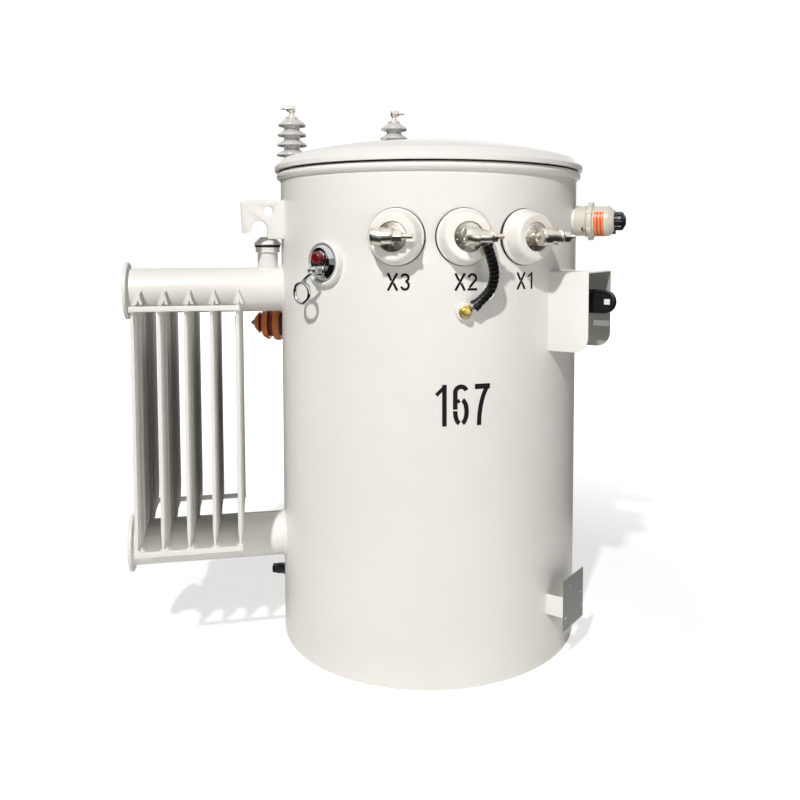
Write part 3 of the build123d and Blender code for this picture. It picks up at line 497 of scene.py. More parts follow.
def dome_level(reach, inset=0.0):
    """Height of the cover's dome at a distance from the axis: a ball of radius dome_r, less the inset."""
    return cover_high.z - dome_r + np.sqrt((dome_r - inset) ** 2 - np.asarray(reach) ** 2)


def shift(x=0.0, y=0.0, z=0.0):
    """Matrix that moves by x, y, z."""
    matrix = np.eye(4)
    matrix[:3, 3] = x, y, z
    return matrix


def put(part, matrix):
    """The same part at another place."""
    points, faces = part
    return points @ matrix[:3, :3].T + matrix[:3, 3], faces


def middle_of(node):
    """Middle of a CAD node's box."""
    low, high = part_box(node)
    return (low + high) / 2


dome_reach = np.linspace(0, crown_r - 0.6 * mm, 40)
under_reach = np.linspace(crown_r - sheet, 0, 30)
cover_line = np.vstack([
    np.column_stack([dome_reach, dome_level(dome_reach)]),
    rounded([(crown_r, crown_top), (shoulder_r, shoulder_top, 5 * mm), (lip_r, lip_top, 4 * mm),
             (lip_r, cover_low.z), (gasket_in, cover_low.z), (gasket_in, shoulder_top - sheet),
             (crown_r - sheet, shoulder_top - sheet)], steps=8),
    np.column_stack([under_reach, dome_level(under_reach, sheet)]),
])
rear_x, rear_y = middle_of("hv_bushing_rear")[:2]
pad_r, pad_top, pad_deep = 44 * mm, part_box("hv_bushing_rear")[0].z, 16 * mm
pad_line = rounded([
    (0, pad_top - pad_deep), (pad_r, pad_top - pad_deep), (pad_r, pad_top, 1.5 * mm), (0, pad_top)])
rear_pad = put(turned(pad_line), shift(rear_x, rear_y))
piece("domed_cover", [turned(cover_line, wide_sides), rear_pad], ["cover"], sharp=20.0)
pad_weld_line = circle(pad_r + 0.5 * mm, 160) + (rear_x, rear_y)
pad_weld_line = np.column_stack([pad_weld_line, dome_level(np.linalg.norm(pad_weld_line, axis=1))])
piece("cover_pad_weld", [weld(pad_weld_line, 1.8 * mm, (0, 0, 1), closed=True)])

# ---------------------------------------------------------------- low-voltage bushings
# Three glazed porcelain bushings sit in a row across the front, each a wide flange with a narrower barrel and
# a round mouth. A thin black gasket seals each flange on the wall, and it stands out past the flange's edge
# as a painted contact shadow.


def on_wall(angle, height):
    """Place on the round wall as a matrix: X runs to the right round the tank, Y up and Z straight out.
    The angle is in radians from the front, positive to the right."""
    s, c = math.sin(angle), math.cos(angle)
    return np.array([[c, 0, s, tank_r * s], [s, 0, -c, -tank_r * c], [0, 1, 0, height], [0, 0, 0, 1]])


def lathed(corners, seat, sides=96, closed=False, steps=5):
    """Turned part at a place, from the corners of its outline in mm: (distance from Z, Z, radius)."""
    return put(turned(rounded(corners, closed, steps) * mm, sides), seat)


# Porcelain under a clear glaze: a bright sharp highlight on off-white, with a slow ripple left by the glaze.
white_glaze = surface("off_white_glazed_porcelain", "EEEBE4", 0.16, tones=("EAE7DE", "F3F1EC", 33.3, 3),
                      bumps=[(11.1, 1, 0.08, 0.6)], constants={"Coat Weight": 0.25, "Coat Roughness": 0.05})
lv_names = ("x1", "x2", "x3")
lv_height = middle_of("lv_bushing_x2").z
lv_seats = {name: on_wall(wall_angle("lv_bushing_" + name), lv_height) for name in lv_names}
flange_r = (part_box("lv_bushing_x2")[1].z - lv_height) / mm
flange_foot = -4.9
flange_line = [(0, flange_foot), (flange_r, flange_foot), (flange_r, 6.5, 2.8), (50.8, 8.2, 2.5),
               (46.4, 34, 4), (43, 40, 3.5), (28.3, 40, 1.2), (28.3, 33), (0, 33)]
# The black ring stands 1.3 mm past the flange and up the wall: a real gasket, widened into a painted contact
# shadow.
seal_out, seal_top = flange_r + 1.3, 1.3
gasket_and_contact_shade = [(0, flange_foot), (seal_out, flange_foot), (seal_out, seal_top, 0.5), (0, seal_top)]
for name in lv_names:
    bushing = lathed(flange_line, lv_seats[name], 160, steps=7)
    piece("porcelain_" + name, [bushing], ["lv_bushing_" + name], white_glaze)
    contact = lathed(gasket_and_contact_shade, lv_seats[name], 160)
    piece("flange_gasket_and_shade_" + name, [contact], (), black_rubber)

# ---------------------------------------------------------------- low-voltage terminals
# Each bushing ends in a stamped plate with a tin-plated bronze clamp on it: a barrel with a hole for the
# wire, a turned bell and collar, and a hexagon nut on a threaded stud that tightens it.


def eased(name, node, width, material=grey_enamel, body="transformer"):
    """Stands for a CAD node: a copy with its doubles merged and its flat faces joined, whose sharp edges
    are rounded by the width. The bevel hardens the normals, so the flats stay flat."""
    shell = bmesh.new()
    shell.from_mesh(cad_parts[node].data)
    bmesh.ops.remove_doubles(shell, verts=shell.verts, dist=1e-5)
    bmesh.ops.dissolve_limit(shell, angle_limit=math.radians(0.6), verts=shell.verts, edges=shell.edges)
    mesh = bpy.data.meshes.new(name)
    shell.to_mesh(mesh)
    shell.free()
    mesh.shade_smooth()
    edges = finished(name, mesh, (node,), material, body).modifiers.new("rounded_edges", "BEVEL")
    edges.width = width
    edges.segments = 2
    edges.limit_method = "ANGLE"
    edges.angle_limit = math.radians(34)
    edges.use_clamp_overlap = False
    edges.harden_normals = True


def turn(axis, degrees):
    """Matrix that turns about the X, Y or Z axis."""
    a = math.radians(degrees)
    matrix = np.eye(4)
    i, j = {"X": (1, 2), "Y": (2, 0), "Z": (0, 1)}[axis]
    matrix[i, i] = matrix[j, j] = math.cos(a)
    matrix[j, i] = math.sin(a)
    matrix[i, j] = -matrix[j, i]
    return matrix


def slab(outline, low, high, seat):
    """Flat plate at a place, in mm: the outline in X and Y, raised from one level of Z to another and
    closed by both faces."""
    outline = np.asarray(outline, float) * mm
    count = len(outline)
    levels = [np.column_stack([outline, np.full(count, z * mm)]) for z in (low, high)]
    sides = [(i, (i + 1) % count, (i + 1) % count + count, i + count) for i in range(count)]
    faces = [tuple(range(count))[::-1], tuple(range(count, 2 * count)), *sides]
    return put((np.concatenate(levels), faces), seat)


def thread(radius, start, end, pitch=1.5):
    """Profile of a threaded stud: the radius drops by 0.6 pitch and comes back in every pitch."""
    z = np.arange(start, end, pitch / 4)
    flank = radius - 0.3 * pitch * (1 - np.cos(2 * np.pi * z / pitch))
    return np.vstack([[(0, start)], np.column_stack([flank, z]), [(radius - 0.6 * pitch, end), (0, end)]])


# Bronze with a thick dip of tin: warm and semi-bright, with dull patches and small scuffs of handling.
tinned_bronze = surface("tin_plated_bronze", "E4E1D8", 0.28, 1.0, tones=("CDC8B8", "F1EEE8", 18.2, 4),
                        bumps=[(4.55, 2, 0.22, 0.35)])
clamp_reach, plate_reach = 57 * mm, 37 * mm
# Along each clamp from the bushing's middle: its start, the nut's two ends and the rod's end.
clamp_marks = {"x3": (-33, 8, 24.5, 43.5), "x2": (-12, 38, 47.5, 60.5), "x1": (-9, 46.5, 63.5, 78.5)}
face_rim = [(11, 0.3), (11, -0.7, 0.4), (15, -0.7, 0.4), (15, 0.3)]
dimple = [(3.2, 0.3), (3.2, -0.8, 0.3), (6, -0.8, 0.5), (6, 0.3)]
face_bar = [(7, -1), (10.6, -1), (10.6, 1), (7, 1)]
washer = [(4, -1.4), (12.6, -1.4, 0.5), (12.6, 0.2, 0.5), (4, 0.2)]
ridge = [(16, -0.2), (17, 0.7, 0.3), (17.6, 0.7, 0.3), (18, -0.2)]
pip = [(0, 0), (1.9, 0), (1.9, 0.5, 0.4), (0, 0.9)]
pip_count, pip_reach = 12, 22.5 * mm
for name in lv_names:
    eased("wire_clamp_" + name, "lv_terminal_" + name, 0.7 * mm, tinned_bronze)
    start, nut_start, nut_end, rod_end = clamp_marks[name]
    axis = lv_seats[name] @ shift(z=clamp_reach) @ turn("Y", 90)
    face = axis @ shift(z=start * mm)
    plate = lv_seats[name] @ shift(z=plate_reach)
    trims = [
        lathed(face_rim, face, 64, closed=True),
        lathed(dimple, face, 64, closed=True),
        lathed(washer, axis @ shift(z=nut_start * mm), 64, closed=True),
        put(turned(thread(5.35, nut_end - 0.5, rod_end - 1.5) * mm, 64), axis),
        lathed(ridge, plate, 64, closed=True),
    ]
    for degrees in (30, 150, 270):
        trims.append(slab(face_bar, -0.6, 0.3, face @ turn("Z", degrees)))
    for index in range(pip_count):
        pip_seat = plate @ turn("Z", 360 * (index + 0.5) / pip_count) @ shift(pip_reach, 0, -0.1 * mm)
        trims.append(lathed(pip, pip_seat, 12))
    piece("clamp_trim_" + name, trims, (), tinned_bronze, sharp=50.0)

# ---------------------------------------------------------------- ground strap
# A short cable bound with overlapping turns of black tape runs from the middle clamp down to the tank. It
# ends in a tinned lug, held on a welded pad by a yellow plated bolt.

# The route's points in mm, from the middle bushing's place on the wall: to the right, up and out.
strap_route = [
    (28.0, -12.5, 57.0), (38.0, -36.0, 50.0), (49.0, -66.0, 39.0),
    (48.0, -94.0, 28.0), (32.0, -116.0, 21.0), (15.0, -130.5, 15.8),
]
strap_r = 9.5 * mm
strap_step = 0.8 * mm
tape_wide = 9 * mm
swell_long = 16 * mm


def smooth_route(name, corners):
    """Points along a NURBS curve of order 3 that has the route's points as its control points."""
    curve = bpy.data.curves.new(name, "CURVE")
    curve.dimensions = "3D"
    curve.resolution_u = 24
    spline = curve.splines.new("NURBS")
    spline.points.add(len(corners) - 1)
    spline.points.foreach_set("co", np.column_stack([corners, np.ones(len(corners))]).ravel())
    spline.order_u = 3
    spline.use_endpoint_u = True
    holder = bpy.data.objects.new(name, curve)
    mesh = bpy.data.meshes.new_from_object(holder)
    line = np.empty(len(mesh.vertices) * 3, np.float32)
    mesh.vertices.foreach_get("co", line)
    bpy.data.objects.remove(holder)
    bpy.data.curves.remove(curve)
    bpy.data.meshes.remove(mesh)
    return line.reshape(-1, 3).astype(float)


def evened(line, step):
    """The same line with its points at even distances, by linear interpolation over its run."""
    run = np.concatenate([[0], np.cumsum(np.linalg.norm(np.diff(line, axis=0), axis=1))])
    count = int(run[-1] / step) + 1
    return np.column_stack([np.interp(np.linspace(0, run[-1], count), run, line[:, k]) for k in range(3)])


def smooth(t):
    """Smooth step from 0 to 1: three t squared less two t cubed."""
    t = np.clip(t, 0, 1)
    return t * t * (3 - 2 * t)


def squared_oval(half_x, half_y, power_x, power_y, sides):
    """Sections between an oval and a box: X is half_x times the cosine and Y half_y times the sine, each
    raised to a power with its sign kept. Halves and powers may be columns, with one row for each section."""
    x, y = circle(1.0, sides).T
    x = half_x * np.sign(x) * np.abs(x) ** power_x
    y = half_y * np.sign(y) * np.abs(y) ** power_y
    return np.stack(np.broadcast_arrays(x, y), axis=-1)


local_route = np.array(strap_route) * mm
strap_seat = lv_seats["x2"]
strap_line = smooth_route("strap_route", local_route @ strap_seat[:3, :3].T + strap_seat[:3, 3])
strap_line = evened(strap_line, strap_step)
strap_run = np.arange(len(strap_line))[:, None] * strap_step
# Radius of the binding: it climbs over a tape's width and drops at its edge, and the edge winds round. At
# the end the tape covers the lug's barrel and the binding swells.
tape_sides = 48
lap = (strap_run / tape_wide + np.linspace(0, 1, tape_sides, endpoint=False)) % 1.0
tape_r = strap_r * (0.955 + 0.10 * np.minimum(lap * 1.06, 1.0) - 0.10 * np.clip((lap - 0.9) * 10, 0, 1))
tape_r = tape_r * (1 + 0.26 * smooth((strap_run - strap_run[-1]) / swell_long + 1))
tape_section = tape_r[..., None] * circle(1.0, tape_sides)

# Vinyl tape wound by hand: smooth and black with a soft shine, and wrinkled where it is pulled round a bend.
black_tape = surface("wound_vinyl_tape", "0B0B0C", 0.24, bumps=[(8.33, 3, 0.5, 1.2)])
piece("ground_cable_binding", [swept(tape_section, strap_line, (1, 0.2, 0))], ["ground_strap"], black_tape,
      sharp=40.0)

pad_height = middle_of("ground_pad").z
pad_seat = on_wall(wall_angle("lv_bushing_x2"), pad_height)
piece("ground_boss", [lathed([(0, -0.8), (17, -0.8), (17, 8, 1.2), (0, 8)], pad_seat, 64)], ["ground_pad"])

# Tinned copper: a little duller and warmer than the clamps, and stained unevenly.
tinned_copper = surface("tinned_copper", "E2DED0", 0.33, 1.0, tones=("D2CCBA", "ECE9DF", 14.3, 3))
# The lug's neck starts as a flat tongue over the bolt's eye and becomes a round barrel for the cable: it is
# flat up to its 12th section and round from its 21st.
barrel_end = local_route[-1] - (0, pad_height - lv_height, 0)
barrel_dir = local_route[-1] - local_route[-2]
barrel_back = -9 * mm * barrel_dir / np.linalg.norm(barrel_dir)
tongue = np.array([0.0, 0.0, 10.5 * mm])
lug_line = np.vstack([tongue + (barrel_end - tongue) * np.linspace(0, 1, 24)[:, None],
                      barrel_end + barrel_back * np.linspace(0.2, 1, 6)[:, None]])
roundness = smooth((np.arange(len(lug_line)) - 11) / 9)[:, None]
power = 0.35 + 0.65 * roundness
lug_section = squared_oval((8 + 2 * roundness) * mm, (2.5 + 7.5 * roundness) * mm, power, power, 40)
lug_neck = put(swept(lug_section, lug_line, (0, 0, 1)), pad_seat)
lug_eye = lathed([(0, 8), (13, 8, 0.8), (13, 13, 0.8), (0, 13)], pad_seat, 64)
piece("cable_lug", [lug_neck, lug_eye], ["ground_lug"], tinned_copper, sharp=50.0)

# Zinc with a yellow passivation: a pale gold metal with faint greener and browner clouds.
yellow_zinc = surface("yellow_passivated_zinc", "D6BE62", 0.34, 1.0, tones=("C4A63F", "EAD98A", 7.14, 3))
bolt_head = lathed([(0, 14.5), (9.6, 14.5), (9.9, 18, 1), (8.2, 21.2, 2), (0, 22)], pad_seat, 48)
bolt_washer = lathed([(0, 13), (11.6, 13, 0.5), (11.6, 14.7, 0.5), (0, 14.7)], pad_seat, 48)
piece("ground_bolt", [bolt_head, bolt_washer], (), yellow_zinc, sharp=50.0)

# ---------------------------------------------------------------- pressure relief valve
# A chromed round valve is screwed into a painted boss. Its stem carries a dark red plastic cap, and a
# bent wire ring hangs from two ears on a pin, to be pulled by hand or with a hook.
relief_seat = on_wall(wall_angle("relief_boss"), middle_of("relief_boss").z)
stem_seat = relief_seat @ shift(y=10 * mm)
boss = lathed([(0, -3.2), (45, -3.2), (45, 12, 3), (38, 12, 2), (38, 4), (0, 4)], relief_seat, 128)
piece("relief_boss_ring", [boss], ["relief_boss"])

# Chrome plate on brass: a mirror, bent a little by the polisher's shallow dents.
bright_chrome = surface("polished_chrome_plate", "C9CCCD", 0.06, 1.0, tones=("C2C6C8", "E4E6E6", 16.7, 2),
                        bumps=[(22.2, 2, 0.10, 1.0)])
eased("relief_body", "relief_valve", 0.6 * mm, bright_chrome)
hub = lathed([(14, 15.5), (20.5, 15.5, 0.8), (20.5, 18.2, 0.8), (14, 18.2)], stem_seat, 64, closed=True)
piece("relief_hub", [hub], (), bright_chrome, sharp=50.0)

# Moulded plastic cap: a deep glossy red, a little cloudy, with the mould's polish on top.
red_plastic = surface("dark_red_moulded_cap", "660D16", 0.22, tones=("560911", "74121C", 12.5, 2),
                      constants={"Coat Weight": 0.2, "Coat Roughness": 0.08})
stem_cap = lathed([(0, 18), (11.4, 18), (12, 19.5, 0.8), (12, 30, 5), (0, 30)], stem_seat, 64, steps=8)
piece("red_stem_cap", [stem_cap], ["relief_cap"], red_plastic)

# The ring is bent from one wire: an eye round the pin, a shank with a knee that clears the ears, and a loop.
# The shank is a quadratic curve over the knee: (1 - t) squared start + 2 t (1 - t) knee + t squared foot.
pivot = relief_seat @ shift(y=-14 * mm, z=32 * mm)
wire = circle(3.8 * mm, 20)
loop_r = 20 * mm
knee = np.array([0, -8, 10]) * mm
loop_centre = np.array([-28, -44.5, 5]) * mm
shank_foot = loop_centre + np.array([0.05, 0.998, 0]) * loop_r
t = np.linspace(0, 1, 24)[:, None]
shank_line = (1 - t) ** 2 * knee * 0.5 + 2 * t * (1 - t) * knee * 1.2 + t ** 2 * shank_foot
loop_line = loop_centre + np.column_stack([circle(loop_r, 72)[:, ::-1], np.zeros(72)])
pin_eye = [(3.08, -6), (6.08, -6, 0.8), (6.08, 6, 0.8), (3.08, 6)]
ring_parts = [lathed(pin_eye, pivot @ turn("Y", 90), 48, closed=True),
              put(swept(wire, shank_line, (0, 0, 1)), pivot),
              put(swept(wire, loop_line, (0, 0, 1), closed=True), pivot)]
piece("pull_ring_wire", ring_parts, ["relief_ring"], bright_chrome, body="pull_ring", sharp=50.0)

# ---------------------------------------------------------------- fuse holder
# The draw-out fuse sits in a moulded beige holder on a short painted sleeve, with a thick collar that is
# turned to lock it. Its end is a black cap with finger flutes, and a bare orange patch is stuck on its side.
fuse_seat = on_wall(wall_angle("fuse_sleeve"), middle_of("fuse_sleeve").z)
eased("fuse_sleeve_tube", "fuse_sleeve", 0.8 * mm)

# Glass-filled polyester: satin beige with a fine fleck, drawn coarser than the real fibres so that it shows.
beige_moulding = surface("moulded_beige_polyester", "D0CEC0", 0.40, tones=("CAC8B8", "D7D5C8", 2.86, 3),
                         bumps=[(2.86, 3, 0.12, 0.3)])
eased("fuse_body", "fuse_holder", 0.7 * mm, beige_moulding)
seam_ring = [(29.5, 5), (31.2, 5, 0.5), (31.2, 7.4, 0.5), (29.5, 7.4)]
lock_ring = [(29.5, 25), (32.4, 25, 0.6), (32.4, 28, 0.6), (29.5, 28)]
front_ring = [(30, 72), (31.7, 72, 0.5), (31.7, 74.2, 0.5), (30, 74.2)]
rings = [lathed(corners, fuse_seat, closed=True) for corners in (seam_ring, lock_ring, front_ring)]
ear = rounded([(-5, 0), (5, 0), (5, 3.2, 1.2), (-5, 3.2, 1.2)])
for degrees in range(0, 360, 60):
    rings.append(slab(ear, 32, 42, fuse_seat @ turn("Z", degrees) @ shift(y=36.6 * mm)))
piece("fuse_rings", rings, (), beige_moulding, sharp=40.0)

# Printed film: pale and dark wavy lines run round the holder, so the tone follows the distance along it.
line_spacing, line_waver = 7.6 * mm, 4.5 * mm
orange_film = surface("printed_orange_film", "DD733F", 0.34)
tree = orange_film.node_tree
place = tree.nodes["Texture Coordinate"].outputs["Object"]
fuse_axis = (fuse_seat[0, 2], fuse_seat[1, 2], 0.0)
run = add_node(tree, "ShaderNodeVectorMath", {0: place, 1: fuse_axis}, operation="DOT_PRODUCT")
shiver = add_node(tree, "ShaderNodeTexNoise", {"Vector": place, "Scale": 1 / (11.1 * mm), "Detail": 2})
wavy = add_node(tree, "ShaderNodeMath", {0: shiver.outputs[0], 1: line_waver, 2: run.outputs["Value"]},
                operation="MULTIPLY_ADD")
beat = add_node(tree, "ShaderNodeMath", {0: wavy.outputs[0], 1: 2 * math.pi / line_spacing},
                operation="MULTIPLY")
wave = add_node(tree, "ShaderNodeMath", {0: beat.outputs[0]}, operation="SINE")
share = add_node(tree, "ShaderNodeMapRange", {"Value": wave.outputs[0], "From Min": -0.7, "From Max": 0.9})
mix = add_node(tree, "ShaderNodeMix", {0: share.outputs[0], 6: linear("CF4A22"), 7: linear("EE9A68")},
               data_type="RGBA")
tree.links.new(mix.outputs[2], tree.nodes["Principled BSDF"].inputs["Base Color"])

# The film's border: the same film left unprinted, cream coloured, with a trace of its paper fibres.
pale_film = surface("cream_film_border", "EFE9DA", 0.40, tones=("E6DFCC", "F5F0E4", 3.85, 2))


def film(first, last, low, high, reach):
    """Thin curved film on the holder: a closed strip over part of the turn, between two distances out. Its
    inner face lies just under the holder's surface."""
    around = np.radians(np.linspace(first, last, 48))
    under, edge, lip = 30.4, reach + 0.3, 0.2
    corners = [(reach, low), (edge, low + lip), (edge, high - lip),
               (reach, high), (under, high), (under, low)]
    rows = [np.column_stack([r * np.cos(around), r * np.sin(around), 0 * around + z]) for r, z in corners]
    points, faces = skin(np.stack(rows, axis=1) * mm)
    count = len(points)
    return put((points, faces + [tuple(range(6)), tuple(range(count - 1, count - 7, -1))]), fuse_seat)


# The bayonet slot is a black film on the holder: painted shade for the dark opening.
for name, outline, material, slot in (
        ("bayonet_slot_painted_shade", (215, 229, 23.0, 29.4, 30.75), black_rubber, "black_plastic"),
        ("orange_patch", (143, 276, 46.0, 67.6, 31.3), orange_film, "beige_plastic"),
        ("patch_border", (141, 278, 44.9, 69.4, 31.1), pale_film, "beige_plastic")):
    piece(name, [film(*outline)], (), material, sharp=30.0)

# Phenolic moulding: dense satin black with the mould's fine pebble, drawn coarser than it is so as to show.
black_moulding = surface("moulded_black_phenolic", "15161A", 0.33, tones=("0F1013", "202126", 2.38, 2),
                         bumps=[(2.38, 2, 0.22, 0.3)])

# Cap: the radius of a domed profile is cut in by rounded flutes, which fade out over the dome.
flute_count, flute_deep = 12, 2.0 * mm
fade_start, fade_wide = 12 * mm, 7 * mm
cap_corners = [(0, 86.5), (19.5, 86.5, 0.6), (19.5, 101.9, 4), (8.8, 108.5, 3), (0, 108.5)]
cap_r, cap_z = np.hsplit(rounded(cap_corners, steps=8) * mm, 2)
cap_turn = np.linspace(0, 2 * np.pi, 20 * flute_count, endpoint=False)
flute = np.clip(np.cos(flute_count * cap_turn), 0, 1) ** 0.6 * flute_deep
cap_r = cap_r - np.clip((cap_r - fade_start) / fade_wide, 0, 1) * flute
cap_grid = np.stack([cap_r * np.cos(cap_turn), cap_r * np.sin(cap_turn), cap_z + 0 * cap_r], axis=-1)
piece("fluted_fuse_cap", [put(skin(cap_grid), fuse_seat)], ["fuse_cap"], black_moulding,
      sharp=60.0)
eye_corners = [(4.4, 107.5), (7.6, 107.5), (7.6, 108.5, 0.4), (4.4, 108.5, 0.4)]
pull_eye = lathed(eye_corners, fuse_seat, 48, closed=True)
latch_tab = slab(rounded([(-5, -27, 1.5), (5, -27, 1.5), (5, -17), (-5, -17)]), 76, 88, fuse_seat)
piece("fuse_cap_latch", [pull_eye, latch_tab], (), black_moulding)

# ---------------------------------------------------------------- tap changer
# The tap knob is a black moulded grip on a steel spindle in a welded boss. A folded sheet guard with two
# cheeks and a roof is welded round it, and a blank white plate is stuck in its far cheek.
tap_angle = wall_angle("tap_boss")
tap_seat = on_wall(tap_angle, middle_of("tap_boss").z)
cheek_in, cheek_out, roof_in = 63.4 * mm, 64.5 * mm, 58.4 * mm

# Painted shade: the inside of the guard, between the cheeks' inner faces and under the roof, is darker grey.
guard_paint_with_painted_shade = surface("guard_enamel_with_painted_shade_inside", "E8E7E4", 0.32, bumps=[orange_peel])
tree = guard_paint_with_painted_shade.node_tree
place = tree.nodes["Texture Coordinate"].outputs["Object"]
across = add_node(tree, "ShaderNodeVectorMath", {0: place, 1: tuple(tap_seat[:3, 0])},
                  operation="DOT_PRODUCT")
across = add_node(tree, "ShaderNodeMath", {0: across.outputs["Value"]}, operation="ABSOLUTE")
between = add_node(tree, "ShaderNodeMath", {0: across.outputs[0], 1: cheek_in}, operation="LESS_THAN")
level = add_node(tree, "ShaderNodeSeparateXYZ", {0: place})
below = add_node(tree, "ShaderNodeMath", {0: level.outputs["Z"], 1: tap_seat[2, 3] + roof_in},
                 operation="LESS_THAN")
within = add_node(tree, "ShaderNodeMath", {0: between.outputs[0], 1: below.outputs[0]}, operation="MULTIPLY")
mix = add_node(tree, "ShaderNodeMix", {0: within.outputs[0], 6: linear("E8E7E4"), 7: linear("9FA09A")},
               data_type="RGBA")
tree.links.new(mix.outputs[2], tree.nodes["Principled BSDF"].inputs["Base Color"])
eased("tap_guard_sheet", "tap_guard", 0.8 * mm, guard_paint_with_painted_shade)
eased("tap_boss_tube", "tap_boss", 0.8 * mm)

# Steel with bright zinc: a cool grey metal with soft cloudy spangles.
zinc_steel = surface("zinc_plated_steel", "B9BDC0", 0.32, 1.0, tones=("A4A9AD", "CDD0D2", 11.1, 3))
eased("tap_shaft", "tap_spindle", 0.5 * mm, zinc_steel, body="tap_handle")

# The knob is one moulding: a round skirt and an upright grip whose end is a half circle. On both faces of
# the grip a rim stands round a recess, and a bar runs along its middle.
knob_low, knob_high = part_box("tap_knob")
grip_half = (knob_high.z - knob_low.z) / 2 / mm
grip_start, grip_centre, bar_end = 44, 86, 103
end_turn = np.radians(np.linspace(-90, 90, 41))
grip_stand = tap_seat @ np.array([[0, 0, 1, 0], [0, 1, 0, 0], [1, 0, 0, 0], [0, 0, 0, 1]], float)


def grip_outline(inset, level):
    """Outline of the grip at a level, drawn in from its edge: two straight sides that a half circle joins."""
    r = grip_half - inset
    arc = np.column_stack([grip_centre + r * np.cos(end_turn), r * np.sin(end_turn)])
    outline = np.vstack([[(grip_start + inset, -r)], arc, [(grip_start + inset, r)]])
    return np.column_stack([outline, np.full(len(outline), level)])


# Levels of one face, from the edge inward: rounded edge, rim, wall of the recess and its floor.
grip_levels = [(0.0, 0.0), (0.0, 5.2), (0.5, 6.4), (1.6, 7.0), (5.2, 7.0), (5.8, 5.0), (8.0, 5.0)]
half_grip = np.stack([grip_outline(inset, level) for inset, level in grip_levels])
grip_points, grip_faces = skin(np.concatenate([half_grip[:0:-1] * (1, 1, -1), half_grip]) * mm)
count, last = half_grip.shape[1], len(grip_points)
grip_faces += [tuple(range(count))[::-1], tuple(range(last - count, last))]
grip = put((grip_points, grip_faces), grip_stand)
skirt = lathed([(0, 36), (21, 36, 2), (21, 46, 4), (0, 46)], tap_seat, steps=6)
bar_start = grip_start + 6
bar_line = rounded([(bar_start, -6, 1.5), (bar_end, -6, 3), (bar_end, 6, 3), (bar_start, 6, 1.5)])
bars = [slab(bar_line, low, high, grip_stand) for low, high in ((-6.4, -4.8), (4.8, 6.4))]
piece("tap_knob_grip", [skirt, grip, *bars], ["tap_knob"], black_moulding, body="tap_handle",
      sharp=40.0)

# White enamel wiped into the moulding's marks: chalky, a little uneven and not quite matt.
white_print = surface("white_enamel_mark", "E8E8E4", 0.40, tones=("DCDCD6", "F2F2EE", 5, 2))
marks = [slab([(start, -5.6), (end, -5.6), (end, 5.6), (start, 5.6)], low, high, grip_stand)
         for start, end in ((88, 100), (50, 54)) for low, high in ((-6.8, -6.3), (6.3, 6.8))]
piece("knob_marks", marks, (), white_print, body="tap_handle")
blank_plate = rounded([(-17, -5.7, 1), (17, -5.7, 1), (17, 5.7, 1), (-17, 5.7, 1)])
far_cheek = tap_seat @ shift(62.95 * mm, -50 * mm, 58.5 * mm) @ turn("Y", -90)
piece("blank_guard_plate", [slab(blank_plate, 0, 0.8, far_cheek)], (), white_print)


def level_weld(first, last, height, radius):
    """Bead round the wall at one height between two angles."""
    a = np.linspace(first, last, max(8, int(abs(last - first) * tank_r / mm)))
    line = np.stack([bead_reach * np.sin(a), -bead_reach * np.cos(a), np.full(len(a), height)], axis=-1)
    return weld(line, radius, (0, 0, 1))


guard_low, guard_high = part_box("tap_guard")
cheek_turn = math.asin(cheek_out / tank_r)
side_turn = cheek_turn + 0.007
guard_bead = 1.9 * mm
piece("guard_welds", [
    upright_weld(tap_angle - side_turn, guard_low.z + 2 * mm, guard_high.z - 1 * mm, guard_bead),
    upright_weld(tap_angle + side_turn, guard_low.z + 2 * mm, guard_high.z - 1 * mm, guard_bead),
    level_weld(tap_angle - cheek_turn, tap_angle + cheek_turn, guard_high.z + 0.6 * mm, guard_bead)])

# ---------------------------------------------------------------- nameplate
# A bare steel plate is riveted to a folded bracket that is welded to the wall by both its legs. It carries no
# marks, and its brushed surface has darkened a little.
bracket_angle = wall_angle("nameplate_bracket")
plate_seat = on_wall(bracket_angle, middle_of("nameplate").z)
eased("nameplate_holder", "nameplate_bracket", 0.7 * mm)

# Brushed stainless steel: level brush lines smear its highlights. They are drawn 0.6 mm apart, coarser than
# they are, so that they show.
line_long, line_apart = 16.7 * mm, 0.625 * mm
line_scale = (1 / line_long, 1 / line_long, 1 / line_apart)
bare_steel = surface("brushed_stainless_steel", "8C928F", 0.36, 1.0)
tree, shader = bare_steel.node_tree, bare_steel.node_tree.nodes["Principled BSDF"]
place = tree.nodes["Texture Coordinate"].outputs["Object"]
brushing = add_node(tree, "ShaderNodeMapping", {"Vector": place, "Scale": line_scale})
lines = add_node(tree, "ShaderNodeTexNoise", {"Vector": brushing.outputs[0], "Scale": 1.0, "Detail": 3})
mix = add_node(tree, "ShaderNodeMix", {0: lines.outputs[0], 6: linear("7E8582"), 7: linear("A2A7A3")},
               data_type="RGBA")
bump = add_node(tree, "ShaderNodeBump", {"Height": lines.outputs[0], "Strength": 0.15, "Distance": 0.1 * mm})
tree.links.new(mix.outputs[2], shader.inputs["Base Color"])
tree.links.new(bump.outputs["Normal"], shader.inputs["Normal"])

